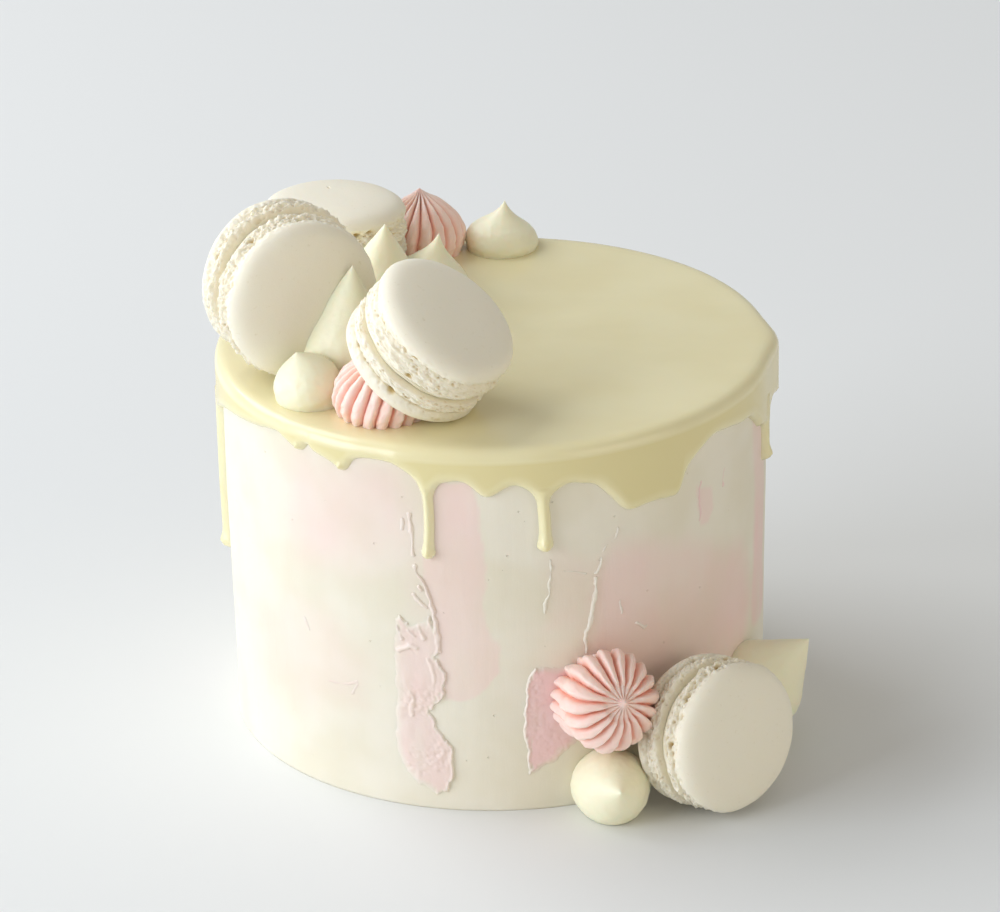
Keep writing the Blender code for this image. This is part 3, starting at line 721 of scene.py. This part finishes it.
def macaron_filling(name, number, radius, half, material):
    """The disc of filling between two shells, with a bulging and slightly wavy side."""
    turn = np.linspace(0, math.tau, FILLING_SEGMENTS, endpoint=False)
    rings = []
    for level in np.linspace(1, -1, FILLING_RINGS):
        waver = value_noise(turn / math.tau * 24, np.full(FILLING_SEGMENTS, 3 * level + 7), 60 + number, 24)
        bulge = radius - FILLING_RECESS - 0.0007 * level ** 2 + 0.00035 * waver
        side = (bulge * np.cos(turn), bulge * np.sin(turn), np.full(FILLING_SEGMENTS, level * half))
        rings.append(np.stack(side, -1))
    points = np.concatenate(rings + [[(0, 0, -half)], [(0, 0, half)]])
    faces = turned_rings(FILLING_RINGS, FILLING_SEGMENTS, 0, last=len(points) - 2, base=len(points) - 1)
    return finished_piece(f"butter_{name}", points, faces, material)


def bump(tree, height, depth, normal=None):
    """The normal of a surface raised by a height, on top of another normal where one is given."""
    inputs = {"Height": height, "Distance": depth}
    if normal is not None:
        inputs["Normal"] = normal
    return add(tree, "ShaderNodeBump", inputs).outputs[0]


def surface_detail(tree, shader, grain_mm, depth_mm, wave_mm, wave_depth_mm):
    """Links a bump of two sizes to a shader, a fine grain over soft waves; gives the place and normal."""
    place = add(tree, "ShaderNodeTexCoord").outputs["Object"]
    soft = bump(tree, noise(tree, place, wave_mm * MM), wave_depth_mm * MM)
    fine = bump(tree, noise(tree, place, grain_mm * MM, 3.0, 0.6), depth_mm * MM, soft)
    tree.links.new(fine, shader.inputs["Normal"])
    return place, fine


def food_material(name, roughness, glow, glow_mm, tint):
    """A new material whose light soaks in and comes out tinted."""
    material = bpy.data.materials.new(name)
    material.use_nodes = True
    tree = material.node_tree
    shader = tree.nodes["Principled BSDF"]
    shader.inputs["Roughness"].default_value = roughness
    shader.inputs["IOR"].default_value = 1.45
    shader.inputs["Subsurface Weight"].default_value = glow
    shader.inputs["Subsurface Radius"].default_value = tint
    shader.inputs["Subsurface Scale"].default_value = glow_mm * MM
    return material, tree, shader


def mark(tree, name):
    """A number stored on the points of the mesh."""
    return Number(tree, add(tree, "ShaderNodeAttribute", attribute_name=name).outputs["Fac"])


def mixed_colour(tree, first, second, share):
    """A colour that goes from the first to the second as the share goes from 0 to 1."""
    first, second = [colour if isinstance(colour, bpy.types.NodeSocket) else (*colour, 1.0)
                     for colour in (first, second)]
    # A Mix node has its colours at inputs 6 and 7 and the mixed one at output 2
    return add(tree, "ShaderNodeMix", {0: share, 6: first, 7: second}, data_type='RGBA').outputs[2]


def stretched(tree, place, factors):
    """A place scaled along each axis."""
    return add(tree, "ShaderNodeVectorMath", {0: place, 1: factors}, operation='MULTIPLY').outputs[0]


def whipped_buttercream(settings):
    """Whipped buttercream, spread with a scraper: matte, finely combed upwards, white and pink."""
    material, tree, shader = food_material("whipped_buttercream", roughness=0.52, glow=0.15, glow_mm=3.0,
                                           tint=(1.0, 0.75, 0.55))
    place, normal = surface_detail(tree, shader, grain_mm=0.7, depth_mm=0.025, wave_mm=9.0,
                                   wave_depth_mm=0.14)
    streaks = noise(tree, stretched(tree, place, (1, 1, 0.1)), 0.0018, 3.0)
    drawn = bump(tree, streaks, 0.00006, normal)
    # Pinholes where air bubbles were scraped open
    cells = add(tree, "ShaderNodeTexVoronoi", {"Vector": place, "Scale": 1 / 0.007}).outputs
    holes = stepped(Number(tree, cells["Distance"]), 0.02, 0.055)
    tree.links.new(bump(tree, holes, 0.0003, drawn), shader.inputs["Normal"])
    cloud = stepped(noise(tree, place, 0.022), 0.35, 0.7)
    white = mixed_colour(tree, settings.ivory, settings.cream, cloud)
    pink = mixed_colour(tree, white, settings.blush, mark(tree, "blush"))
    edged = mixed_colour(tree, pink, settings.crest, mark(tree, "pale"))
    tree.links.new(edged, shader.inputs["Base Color"])
    return material


def white_chocolate(settings):
    """Poured white-chocolate ganache: smooth and satin, deeper yellow where it is thick."""
    material, tree, shader = food_material("white_chocolate_ganache", roughness=0.27, glow=0.22,
                                           glow_mm=3.5, tint=(1.0, 0.8, 0.5))
    shader.inputs["Coat Weight"].default_value = 0.35
    shader.inputs["Coat Roughness"].default_value = 0.16
    place, _ = surface_detail(tree, shader, grain_mm=1.4, depth_mm=0.006, wave_mm=16.0, wave_depth_mm=0.14)
    cloud = stepped(noise(tree, place, 0.030, 1.5), 0.3, 0.7)
    base = mixed_colour(tree, settings.pale, settings.deep, cloud)
    thick = mixed_colour(tree, base, settings.bead, mark(tree, "thick"))
    tree.links.new(thick, shader.inputs["Base Color"])
    return material


def baked_shell(settings):
    """Baked almond meringue: a dry matte dome with fine specks, over a porous crumbly foot, with painted
    shade in its pores, crags and pinholes.
    """
    material, tree, shader = food_material("baked_almond_meringue", roughness=0.62, glow=0.26, glow_mm=2.0,
                                           tint=(1.0, 0.8, 0.55))
    place, _ = surface_detail(tree, shader, grain_mm=0.45, depth_mm=0.03, wave_mm=6.0, wave_depth_mm=0.10)
    specks = stepped(noise(tree, place, 0.0016, 4.0, 0.7), 0.60, 0.74) * 0.5
    dome = mixed_colour(tree, settings.shell, settings.speck, specks)
    body = mixed_colour(tree, dome, settings.foot, mark(tree, "foot"))
    # Painted shade: pores, crag hollows and pinholes are darkened towards the pore shade colour
    shaded_pores = mixed_colour(tree, body, settings.pore_shade, mark(tree, "pit_shade"))
    tree.links.new(shaded_pores, shader.inputs["Base Color"])
    return material


def cream_filling(settings):
    """Soft butter filling squeezed between the shells: pale, faintly rough."""
    material, tree, shader = food_material("butter_filling", roughness=0.5, glow=0.2, glow_mm=2.0,
                                           tint=(1.0, 0.8, 0.5))
    place, _ = surface_detail(tree, shader, grain_mm=0.8, depth_mm=0.03, wave_mm=4.0, wave_depth_mm=0.15)
    pale = mixed_colour(tree, settings.filling, settings.foot, noise(tree, place, 0.006))
    tree.links.new(pale, shader.inputs["Base Color"])
    return material


def piped_cream(name, crest, hollow, roughness):
    """Piped buttercream: satin crests, with painted shade, a deeper tone, down in the grooves."""
    material, tree, shader = food_material(name, roughness, glow=0.45, glow_mm=3.0, tint=(1.0, 0.6, 0.45))
    place, _ = surface_detail(tree, shader, grain_mm=0.9, depth_mm=0.03, wave_mm=4.0, wave_depth_mm=0.12)
    # Painted shade: the groove mark, with a little random noise, mixes in the darker colour
    share = mark(tree, "groove").calc('ADD', noise(tree, place, 0.004) * 0.3, clamp=True)
    tree.links.new(mixed_colour(tree, crest, hollow, share), shader.inputs["Base Color"])
    return material


def plain_floor(colour):
    """Matte pale card under and behind the cake."""
    material = bpy.data.materials.new("matte_studio_card")
    material.use_nodes = True
    tree = material.node_tree
    shader = tree.nodes["Principled BSDF"]
    shader.inputs["Roughness"].default_value = 0.75
    place = add(tree, "ShaderNodeTexCoord").outputs["Object"]
    cloud = noise(tree, place, 0.5, 1.0)
    soft = add(tree, "ShaderNodeMapRange", {"Value": cloud, "To Min": 0.0, "To Max": 0.2})
    darker = tuple(0.93 * c for c in colour)
    tree.links.new(mixed_colour(tree, colour, darker, soft.outputs[0]), shader.inputs["Base Color"])
    return material


def new_tree(name, sizes):
    """An empty Geometry Nodes tree with a named input for each size, the inputs' values and the output."""
    tree = bpy.data.node_groups.new(name, 'GeometryNodeTree')
    tree.interface.new_socket("Geometry", in_out='OUTPUT', socket_type='NodeSocketGeometry')
    for label, value in sizes.items():
        kind = 'NodeSocketInt' if isinstance(value, int) else 'NodeSocketFloat'
        tree.interface.new_socket(label, in_out='INPUT', socket_type=kind).default_value = value
    tree.interface.new_socket("Material", in_out='INPUT', socket_type='NodeSocketMaterial')
    sockets = tree.nodes.new("NodeGroupInput").outputs
    size = {label: Number(tree, sockets[label]) for label in (*sizes, "Material")}
    return tree, size, tree.nodes.new("NodeGroupOutput")


def grow(name, tree, values):
    """Runs a tree once with its inputs set and returns the plain mesh object that it makes."""
    obj = bpy.data.objects.new(name, bpy.data.meshes.new(name))
    bpy.context.scene.collection.objects.link(obj)
    modifier = obj.modifiers.new("Form", 'NODES')
    modifier.node_group = tree
    for item in tree.interface.items_tree:
        if item.item_type == 'SOCKET' and item.in_out == 'INPUT' and item.name in values:
            modifier[item.identifier] = values[item.name]
    evaluated = obj.evaluated_get(bpy.context.evaluated_depsgraph_get())
    mesh = bpy.data.meshes.new_from_object(evaluated)
    obj.modifiers.remove(modifier)
    obj.data = mesh
    mesh.name = name
    if not mesh.polygons:
        raise RuntimeError(f"{name} has no faces")
    return obj


def turning(tree, size):
    """The start of a turned form: its grid, the turn of each point and its place along the profile."""
    grid = add(tree, "GeometryNodeMeshGrid", {"Size X": 1.0, "Size Y": 1.0, "Vertices X": size["Segments"],
                                              "Vertices Y": size["Rows"]})
    flat = add(tree, "GeometryNodeInputPosition").outputs[0]
    place = add(tree, "ShaderNodeSeparateXYZ", {0: flat}).outputs
    return grid.outputs[0], (Number(tree, place[0]) + 0.5) * math.tau, Number(tree, place[1]) + 0.5


def ringed(radius, angle, height):
    """The place of a point from its radius, angle and height."""
    x = angle.calc('COSINE') * radius
    y = angle.calc('SINE') * radius
    return add(angle.tree, "ShaderNodeCombineXYZ", {0: x, 1: y, 2: height}).outputs[0]


def moved(tree, place, step):
    """A place moved by a vector, or by the same length along all three axes."""
    return add(tree, "ShaderNodeVectorMath", {0: place, 1: step}, operation='ADD').outputs[0]


def bubbles(tree, place, size):
    """The distance from each place to the middle of its cell, and three random numbers for the cell."""
    cells = add(tree, "ShaderNodeTexVoronoi", {"Vector": place, "Scale": 1 / size}).outputs
    chances = add(tree, "ShaderNodeSeparateXYZ", {0: cells["Color"]}).outputs
    return Number(tree, cells["Distance"]), [Number(tree, chance) for chance in chances]


def finish_tree(tree, mesh, size, place, output, marks):
    """Stores the marks, moves the grid into place, welds its seam and poles and sets the material."""
    for label, value in marks.items():
        stored = {"Geometry": mesh, "Name": label, "Value": value}
        mesh = add(tree, "GeometryNodeStoreNamedAttribute", stored, data_type='FLOAT',
                   domain='POINT').outputs[0]
    mesh = add(tree, "GeometryNodeSetPosition", {"Geometry": mesh, "Position": place}).outputs[0]
    mesh = add(tree, "GeometryNodeMergeByDistance", {"Geometry": mesh, "Distance": WELD}).outputs[0]
    mesh = add(tree, "GeometryNodeRealizeInstances", {"Geometry": mesh}).outputs[0]
    mesh = add(tree, "GeometryNodeSetMaterial", {"Geometry": mesh, "Material": size["Material"]}).outputs[0]
    tree.links.new(mesh, output.inputs[0])


def profile_curves(outline, height, depth):
    """Radius and height along a sweet's profile from the middle of its base to its tip, from 0 to 1."""
    total = height + depth
    widest = OUTLINES[outline][0][1]
    points = [(0.0, 0.0), (widest * 0.5, 0.0), (widest - BASE_TAPER * depth * 0.5 / height, 0.0)]
    points += [(around, (part * height + depth) / total) for part, around in OUTLINES[outline]]
    steps = [math.dist(a, b) for a, b in zip(points, points[1:])]
    shares = np.concatenate([[0], np.cumsum(steps)]) / sum(steps)
    along = np.linspace(0, 1, PROFILE_POINTS)
    around, rise = [eased([(share, point[i]) for share, point in zip(shares, points)], along)
                    for i in (0, 1)]
    return list(zip(along, np.clip(around, 0, None))), list(zip(along, rise))


def piped_tree(outline, height, depth):
    """Turns a piped sweet: an outline with ridges that run up to the tip with a slight twist."""
    tree, size, output = new_tree("piped_" + outline, {
        "Segments": KISS_SEGMENTS + 1, "Rows": SWEET_ROWS + 1, "Width": 0.03, "Height": 0.02,
        "Base depth": 0.002, "Ridges": 20, "Groove": 0.2, "Flat middle": 0.0, "Twist": 0.25,
        "Ruffle": 0.0004, "Waver": 0.0, "Lean": 0.0, "Seed": 0.0})
    mesh, angle, along = turning(tree, size)
    around, rise = profile_curves(outline, height, depth)
    share = curved(along, around)
    level = curved(along, rise)
    half = size["Width"] * 0.5
    lift = level * (size["Height"] + size["Base depth"]) - size["Base depth"]
    smooth = moved(tree, ringed(share * half, angle, lift), size["Seed"])
    # Ridges: rounded crests that lean to one side and waver, with narrow hollows between them
    waver = uneven(tree, smooth, 0.014, 1.0) * 4.0 + uneven(tree, smooth, 0.004, 1.0) * 1.3
    turn = angle * size["Ridges"] * 0.5 + waver * size["Waver"]
    skew = turn.calc('SINE') ** 2.0 * 0.55
    crest = (turn + skew).calc('COSINE').calc('ABSOLUTE')
    hollow = 1.0 - crest ** 0.8
    # Inside the flat middle the crests drop away to fine lines
    petal = stepped(share - size["Flat middle"], -0.07, 0.05)
    flat = hollow * 0.3 + 0.42
    carve = ((hollow - flat) * petal + flat) * stepped(share, 0.0, 0.16)
    keep = 1.0 - carve * size["Groove"]
    lift = lift.calc('MINIMUM', 0.0) + lift.calc('MAXIMUM', 0.0) * keep
    # Unevenness: the cream wavers a little as it leaves the nozzle
    push = (uneven(tree, smooth, 0.0024) + uneven(tree, smooth, 0.011, 0.0)) * size["Ruffle"] * share
    place = ringed(share * half * keep + push, angle + level * size["Twist"], lift)
    # The tip leans the way the nozzle was pulled off
    lean = add(tree, "ShaderNodeCombineXYZ", {0: level ** 4.0 * size["Lean"]}).outputs[0]
    # How deep in a groove a place lies, which sets the painted shade there
    deep = hollow ** 1.5 * petal * size["Groove"].calc('MULTIPLY', 5.0, clamp=True)
    finish_tree(tree, mesh, size, moved(tree, place, lean), output, {"groove": deep})
    return tree


def shell_tree():
    """Turns a macaron shell: a smooth dome that hangs over a foot with soft folds and burst bubbles."""
    tree, size, output = new_tree("macaron_shell", {
        "Segments": SHELL_SEGMENTS + 1, "Rows": SHELL_ROWS + 1, "Radius": 0.0226, "Dome": 0.0078,
        "Foot": 0.005, "Half filling": 0.0011, "Crag": 0.0006, "Pit shade": 0.5, "Seed": 0.0})
    mesh, angle, along = turning(tree, size)
    around, domed, footed = [curved(along, [(row[0], row[i]) for row in SHELL_PROFILE]) for i in (1, 2, 3)]
    radius = around * size["Radius"]
    lift = domed * size["Dome"] + footed * size["Foot"] + size["Half filling"]
    place = moved(tree, ringed(radius, angle, lift), size["Seed"])
    # Crags under the edge of the dome, and the soft folds that run round the foot
    flat = stretched(tree, place, (0.8, 0.8, 1.4))
    rough = curved(along, CRAG_ZONE)
    lumps = uneven(tree, flat, 0.0017, 3.0, 0.62) * 3.2
    bits = uneven(tree, flat, 0.0008, 1.5)
    crag = (lumps + bits) * size["Crag"] * rough
    drawn = stretched(tree, place, (0.35, 0.35, 1.7))
    fold = uneven(tree, drawn, 0.0022, 1.0) * curved(along, FOLD_ZONE) * 0.0021
    # Pores: burst bubbles of uneven shape, many small ones and a few large, deepest under the dome
    pores = []
    for spacing, chosen in ((0.0013, 0.50), (0.0034, 0.72)):
        distance, chances = bubbles(tree, flat, spacing)
        burst = 1.0 - stepped(distance + lumps * 0.12, 0.10, 0.42)
        pores.append(burst * chances[0].calc('GREATER_THAN', chosen))
    pore = (pores[0] * 0.5).calc('MAXIMUM', pores[1]) * rough
    sink = pore * size["Crag"] * -2.0
    # A few pinholes on the dome
    distance, chances = bubbles(tree, place, 0.007)
    hole = (1.0 - stepped(distance, 0.03, 0.085)) * chances[1].calc('GREATER_THAN', 0.84)
    hole = hole * curved(along, DOME_ZONE)
    # Gentle unevenness of the whole round, and an edge that rises and dips
    swell = uneven(tree, place, 0.017, 1.0) * 0.0015
    ripple = uneven(tree, place, 0.0045) * curved(along, LIP_ZONE)
    out = (crag + fold + sink + swell + radius) * radius.calc('GREATER_THAN', 0.0001)
    up = lift + hole * -0.0007 + ripple * 0.0018
    # How deep in a pore, crag or pinhole a place lies, which sets how much painted shade it gets
    sunk = lumps.calc('MULTIPLY', -0.5, clamp=True) * rough
    sunk = sunk + bits.calc('MULTIPLY', -0.5, clamp=True) * rough
    deep = (pore * 1.6).calc('ADD', hole, clamp=True)
    painted_pit_shade = deep.calc('MAXIMUM', sunk * size["Pit shade"], clamp=True)
    finish_tree(tree, mesh, size, ringed(out, angle, up), output,
                {"foot": curved(along, CRUMB_ZONE), "pit_shade": painted_pit_shade})
    return tree


def set_up(obj, centre, axis):
    """Puts a turned piece in place in its mesh, with its own Z along the axis."""
    turn = Vector(axis).normalized().to_track_quat('Z', 'Y')
    obj.data.transform(Matrix.Translation(centre) @ turn.to_matrix().to_4x4())
    obj.data.update()
    return obj


def keep_above_floor(obj):
    """Flattens what would reach below the surface that the cake stands on."""
    for vertex in obj.data.vertices:
        vertex.co.z = max(vertex.co.z, FLOOR_GAP)
    return obj


def piped_sweet(name, placed, form, material):
    """Grows a kiss or a rosette, puts it in its place and gives it its finish."""
    centre, axis, width, height, outline, depth = placed
    values = {"Rows": SWEET_ROWS + 1, "Width": width, "Height": height, "Base depth": depth,
              "Material": material, **form}
    sweet = grow("piped_" + name, piped_tree(outline, height, depth), values)
    set_up(sweet, centre, axis)
    return dressed(keep_above_floor(sweet), material)


class FrostingSettings(bpy.types.PropertyGroup):
    """Colours of the frosted cake."""
    ivory: tone("Ivory", "#ECE5D2", "White of the buttercream")
    cream: tone("Cream", "#E7DFC8", "Warmer tone that drifts through it")
    blush: tone("Blush", "#F5CAC8", "Pink worked into the white")
    crest: tone("Crest", "#FBF3E4", "Pale edge of a knife stroke")


class GanacheSettings(bpy.types.PropertyGroup):
    """Colours of the poured ganache."""
    pale: tone("Pale", "#F3EBC3", "Lighter yellow of the pour")
    deep: tone("Deep", "#EEE4B8", "Deeper yellow of the pour")
    bead: tone("Bead", "#E4D79F", "Yellow where the pour is thick")


class MacaronSettings(bpy.types.PropertyGroup):
    """Roughness and colours of the macarons."""
    crag: bpy.props.FloatProperty(name="Crag", description="How rough the feet are, as a multiple",
                                  default=1.0, min=0, max=2)
    shell: tone("Shell", "#F3ECD7", "Off-white of the dome")
    speck: tone("Speck", "#E2D8BA", "Fine almond specks")
    foot: tone("Foot", "#F4ECD6", "Creamier crumb of the foot")
    # Painted shade: the darker tone laid into the pores, crags and pinholes
    pore_shade: tone("Pore shade", "#CFB67C", "Tone down in the pores")
    filling: tone("Filling", "#EFE6C4", "Pale cream between the shells")


class PipingSettings(bpy.types.PropertyGroup):
    """Ridges and colours of the piped sweets."""
    groove: bpy.props.FloatProperty(name="Groove", description="Depth of the grooves, as a multiple",
                                    default=1.0, min=0, max=2)
    twist: bpy.props.FloatProperty(name="Twist", description="Turn of the ridges from base to tip",
                                   subtype='ANGLE', default=math.radians(20), min=-1.5, max=1.5)
    pink: tone("Pink", "#FBE0D5", "Pink of the crests")
    # Painted shade: the deeper pink laid into the grooves
    groove_shade_pink: tone("Groove shade pink", "#F5AF96", "Pink down in the grooves")
    ivory: tone("Ivory", "#F8F2D2", "Pale yellow of the kisses")


class StageSettings(bpy.types.PropertyGroup):
    """Floor and light."""
    floor: tone("Floor", "#E8E9E6", "Colour of the floor")
    key: bpy.props.FloatProperty(name="Key", description="Power that the soft lights share", default=30.2,
                                 min=0)
    fill: bpy.props.FloatProperty(name="Fill", description="Brightness of the pale room", default=0.38,
                                  min=0)


class CAKE_OT_frosting(bpy.types.Operator):
    """Spread the buttercream and lay on the thick pink patches"""
    bl_idname = "cake.frosting"
    bl_label = "Frosting"

    def execute(self, context):
        material = whipped_buttercream(context.scene.cake_frosting)
        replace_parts(frosted_cake(material), "cake")
        thick_pink(material)
        return {'FINISHED'}


class CAKE_OT_ganache(bpy.types.Operator):
    """Pour the ganache, with its runs down the wall"""
    bl_idname = "cake.ganache"
    bl_label = "Ganache"

    def execute(self, context):
        material = white_chocolate(context.scene.cake_ganache)
        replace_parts(poured_ganache(material), "ganache")
        return {'FINISHED'}


class CAKE_OT_macarons(bpy.types.Operator):
    """Make the macarons: two shells each, with a filling between them"""
    bl_idname = "cake.macarons"
    bl_label = "Macarons"

    def execute(self, context):
        settings = context.scene.cake_macarons
        crust = baked_shell(settings)
        cream = cream_filling(settings)
        tree = shell_tree()
        for number, (name, details) in enumerate(MACARONS.items()):
            centre, axis, radius, half, feet, dome, slip, crag = details
            for part, side, shift in (("cap", 1, 0), ("back", -1, 1)):
                values = {"Segments": SHELL_SEGMENTS + 1, "Rows": SHELL_ROWS + 1, "Radius": radius,
                          "Dome": dome, "Foot": feet[shift], "Half filling": half,
                          "Crag": settings.crag * crag, "Pit shade": PIT_SHADE * crag,
                          "Seed": 0.37 * number + 0.11 * shift, "Material": crust}
                shell = grow(f"shell_{name}_{part}", tree, values)
                set_up(shell, Vector(centre) + shift * Vector(slip), side * Vector(axis))
                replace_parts(dressed(shell, crust), f"macaron_{name}_{part}")
            filling = macaron_filling(name, number, radius, half, cream)
            set_up(filling, Vector(centre) + Vector(slip) / 2, axis)
            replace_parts(filling, f"macaron_{name}_filling")
        return {'FINISHED'}


class CAKE_OT_piping(bpy.types.Operator):
    """Pipe the kisses and rosettes"""
    bl_idname = "cake.piping"
    bl_label = "Piped sweets"

    def execute(self, context):
        settings = context.scene.cake_piping
        shade = tuple(0.93 * c for c in settings.ivory)
        pink = piped_cream("piped_pink_buttercream", settings.pink, settings.groove_shade_pink, 0.5)
        ivory = piped_cream("piped_ivory_buttercream", settings.ivory, shade, 0.42)
        for number, (name, (*placed, lean)) in enumerate(KISSES.items()):
            form = {"Segments": KISS_SEGMENTS + 1, "Ridges": 0, "Groove": 0.0, "Flat middle": -0.5,
                    "Twist": 0.0, "Ruffle": 0.0009, "Waver": 0.0, "Lean": lean, "Seed": 0.13 * number}
            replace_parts(piped_sweet("kiss_" + name, placed, form, ivory), "kiss_" + name)
        for number, (name, (*placed, ridges, middle, groove)) in enumerate(ROSETTES.items()):
            form = {"Segments": ridges * SEGMENTS_PER_RIDGE + 1, "Ridges": ridges,
                    "Groove": settings.groove * groove, "Flat middle": middle, "Twist": settings.twist,
                    "Ruffle": 0.0014, "Waver": 0.45, "Lean": 0.0, "Seed": 0.29 * number}
            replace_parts(piped_sweet("rosette_" + name, placed, form, pink), "rosette_" + name)
        return {'FINISHED'}


def area_light(name, place, power, code):
    """A large soft light that faces the cake."""
    light = bpy.data.lights.new(name, 'AREA')
    light.size = LIGHT_SIZE
    light.energy = power
    light.color = linear(code)
    lamp = bpy.data.objects.new(name, light)
    lamp.location = place
    lamp.rotation_mode = 'QUATERNION'
    lamp.rotation_quaternion = (Vector(LIGHT_TARGET) - Vector(place)).to_track_quat('-Z', 'Y')
    bpy.context.scene.collection.objects.link(lamp)


def make_camera():
    """The camera where the photograph was taken from, with its slight roll."""
    data = bpy.data.cameras.new("camera")
    data.lens = CAMERA_LENS
    data.sensor_width = 36
    camera = bpy.data.objects.new("camera", data)
    forward = Vector((0, math.cos(CAMERA_ELEVATION), -math.sin(CAMERA_ELEVATION)))
    right = Vector((1, 0, 0))
    up = right.cross(forward)
    turned_right = math.cos(CAMERA_ROLL) * right + math.sin(CAMERA_ROLL) * up
    turned_up = math.cos(CAMERA_ROLL) * up - math.sin(CAMERA_ROLL) * right
    turn = Matrix((turned_right, turned_up, -forward)).transposed()
    place = Vector(CAMERA_TARGET) - CAMERA_DISTANCE * forward
    camera.matrix_world = Matrix.Translation(place) @ turn.to_4x4()
    bpy.context.scene.collection.objects.link(camera)
    bpy.context.scene.camera = camera


class CAKE_OT_stage(bpy.types.Operator):
    """Set up the floor, the lights and the camera"""
    bl_idname = "cake.stage"
    bl_label = "Stage"

    def execute(self, context):
        settings = context.scene.cake_stage
        bpy.ops.mesh.primitive_circle_add(vertices=96, radius=12, fill_type='NGON', location=(0, 0, 0))
        floor = context.object
        floor.name = "floor"
        floor.data.materials.append(plain_floor(settings.floor))
        world = bpy.data.worlds.new("pale_room")
        context.scene.world = world
        world.use_nodes = True
        background = world.node_tree.nodes["Background"]
        background.inputs["Color"].default_value = (*linear("#FFFFFF"), 1.0)
        background.inputs["Strength"].default_value = settings.fill
        for name, place, share, code in LIGHTS:
            area_light(name, place, settings.key * share, code)
        make_camera()
        context.scene.view_settings.view_transform = 'Standard'
        context.scene.view_settings.look = 'None'
        return {'FINISHED'}


class CAKE_PT_panel(bpy.types.Panel):
    """Lists the steps that build the cake"""
    bl_label = "Macaron layer cake"
    bl_idname = "CAKE_PT_panel"
    bl_space_type = 'VIEW_3D'
    bl_region_type = 'UI'
    bl_category = "Cake"

    def draw(self, context):
        for group in SETTINGS:
            box = self.layout.box()
            settings = getattr(context.scene, group)
            for label in settings.bl_rna.properties.keys():
                if label not in {"rna_type", "name"}:
                    box.prop(settings, label)
        for operator in OPERATORS:
            self.layout.operator(operator.bl_idname)


SETTINGS = {
    "cake_frosting": FrostingSettings,
    "cake_ganache": GanacheSettings,
    "cake_macarons": MacaronSettings,
    "cake_piping": PipingSettings,
    "cake_stage": StageSettings,
}
OPERATORS = (CAKE_OT_frosting, CAKE_OT_ganache, CAKE_OT_macarons, CAKE_OT_piping, CAKE_OT_stage)


def register():
    """Registers the settings, operators and panel."""
    for name, group in SETTINGS.items():
        bpy.utils.register_class(group)
        setattr(bpy.types.Scene, name, bpy.props.PointerProperty(type=group))
    for operator in OPERATORS:
        bpy.utils.register_class(operator)
    bpy.utils.register_class(CAKE_PT_panel)


def unregister():
    """Removes what register added."""
    bpy.utils.unregister_class(CAKE_PT_panel)
    for operator in reversed(OPERATORS):
        bpy.utils.unregister_class(operator)
    for name, group in reversed(SETTINGS.items()):
        delattr(bpy.types.Scene, name)
        bpy.utils.unregister_class(group)


def main():
    register()
    bpy.ops.cake.frosting()
    bpy.ops.cake.ganache()
    bpy.ops.cake.macarons()
    bpy.ops.cake.piping()
    bpy.ops.cake.stage()


if __name__ == "__main__":
    main()
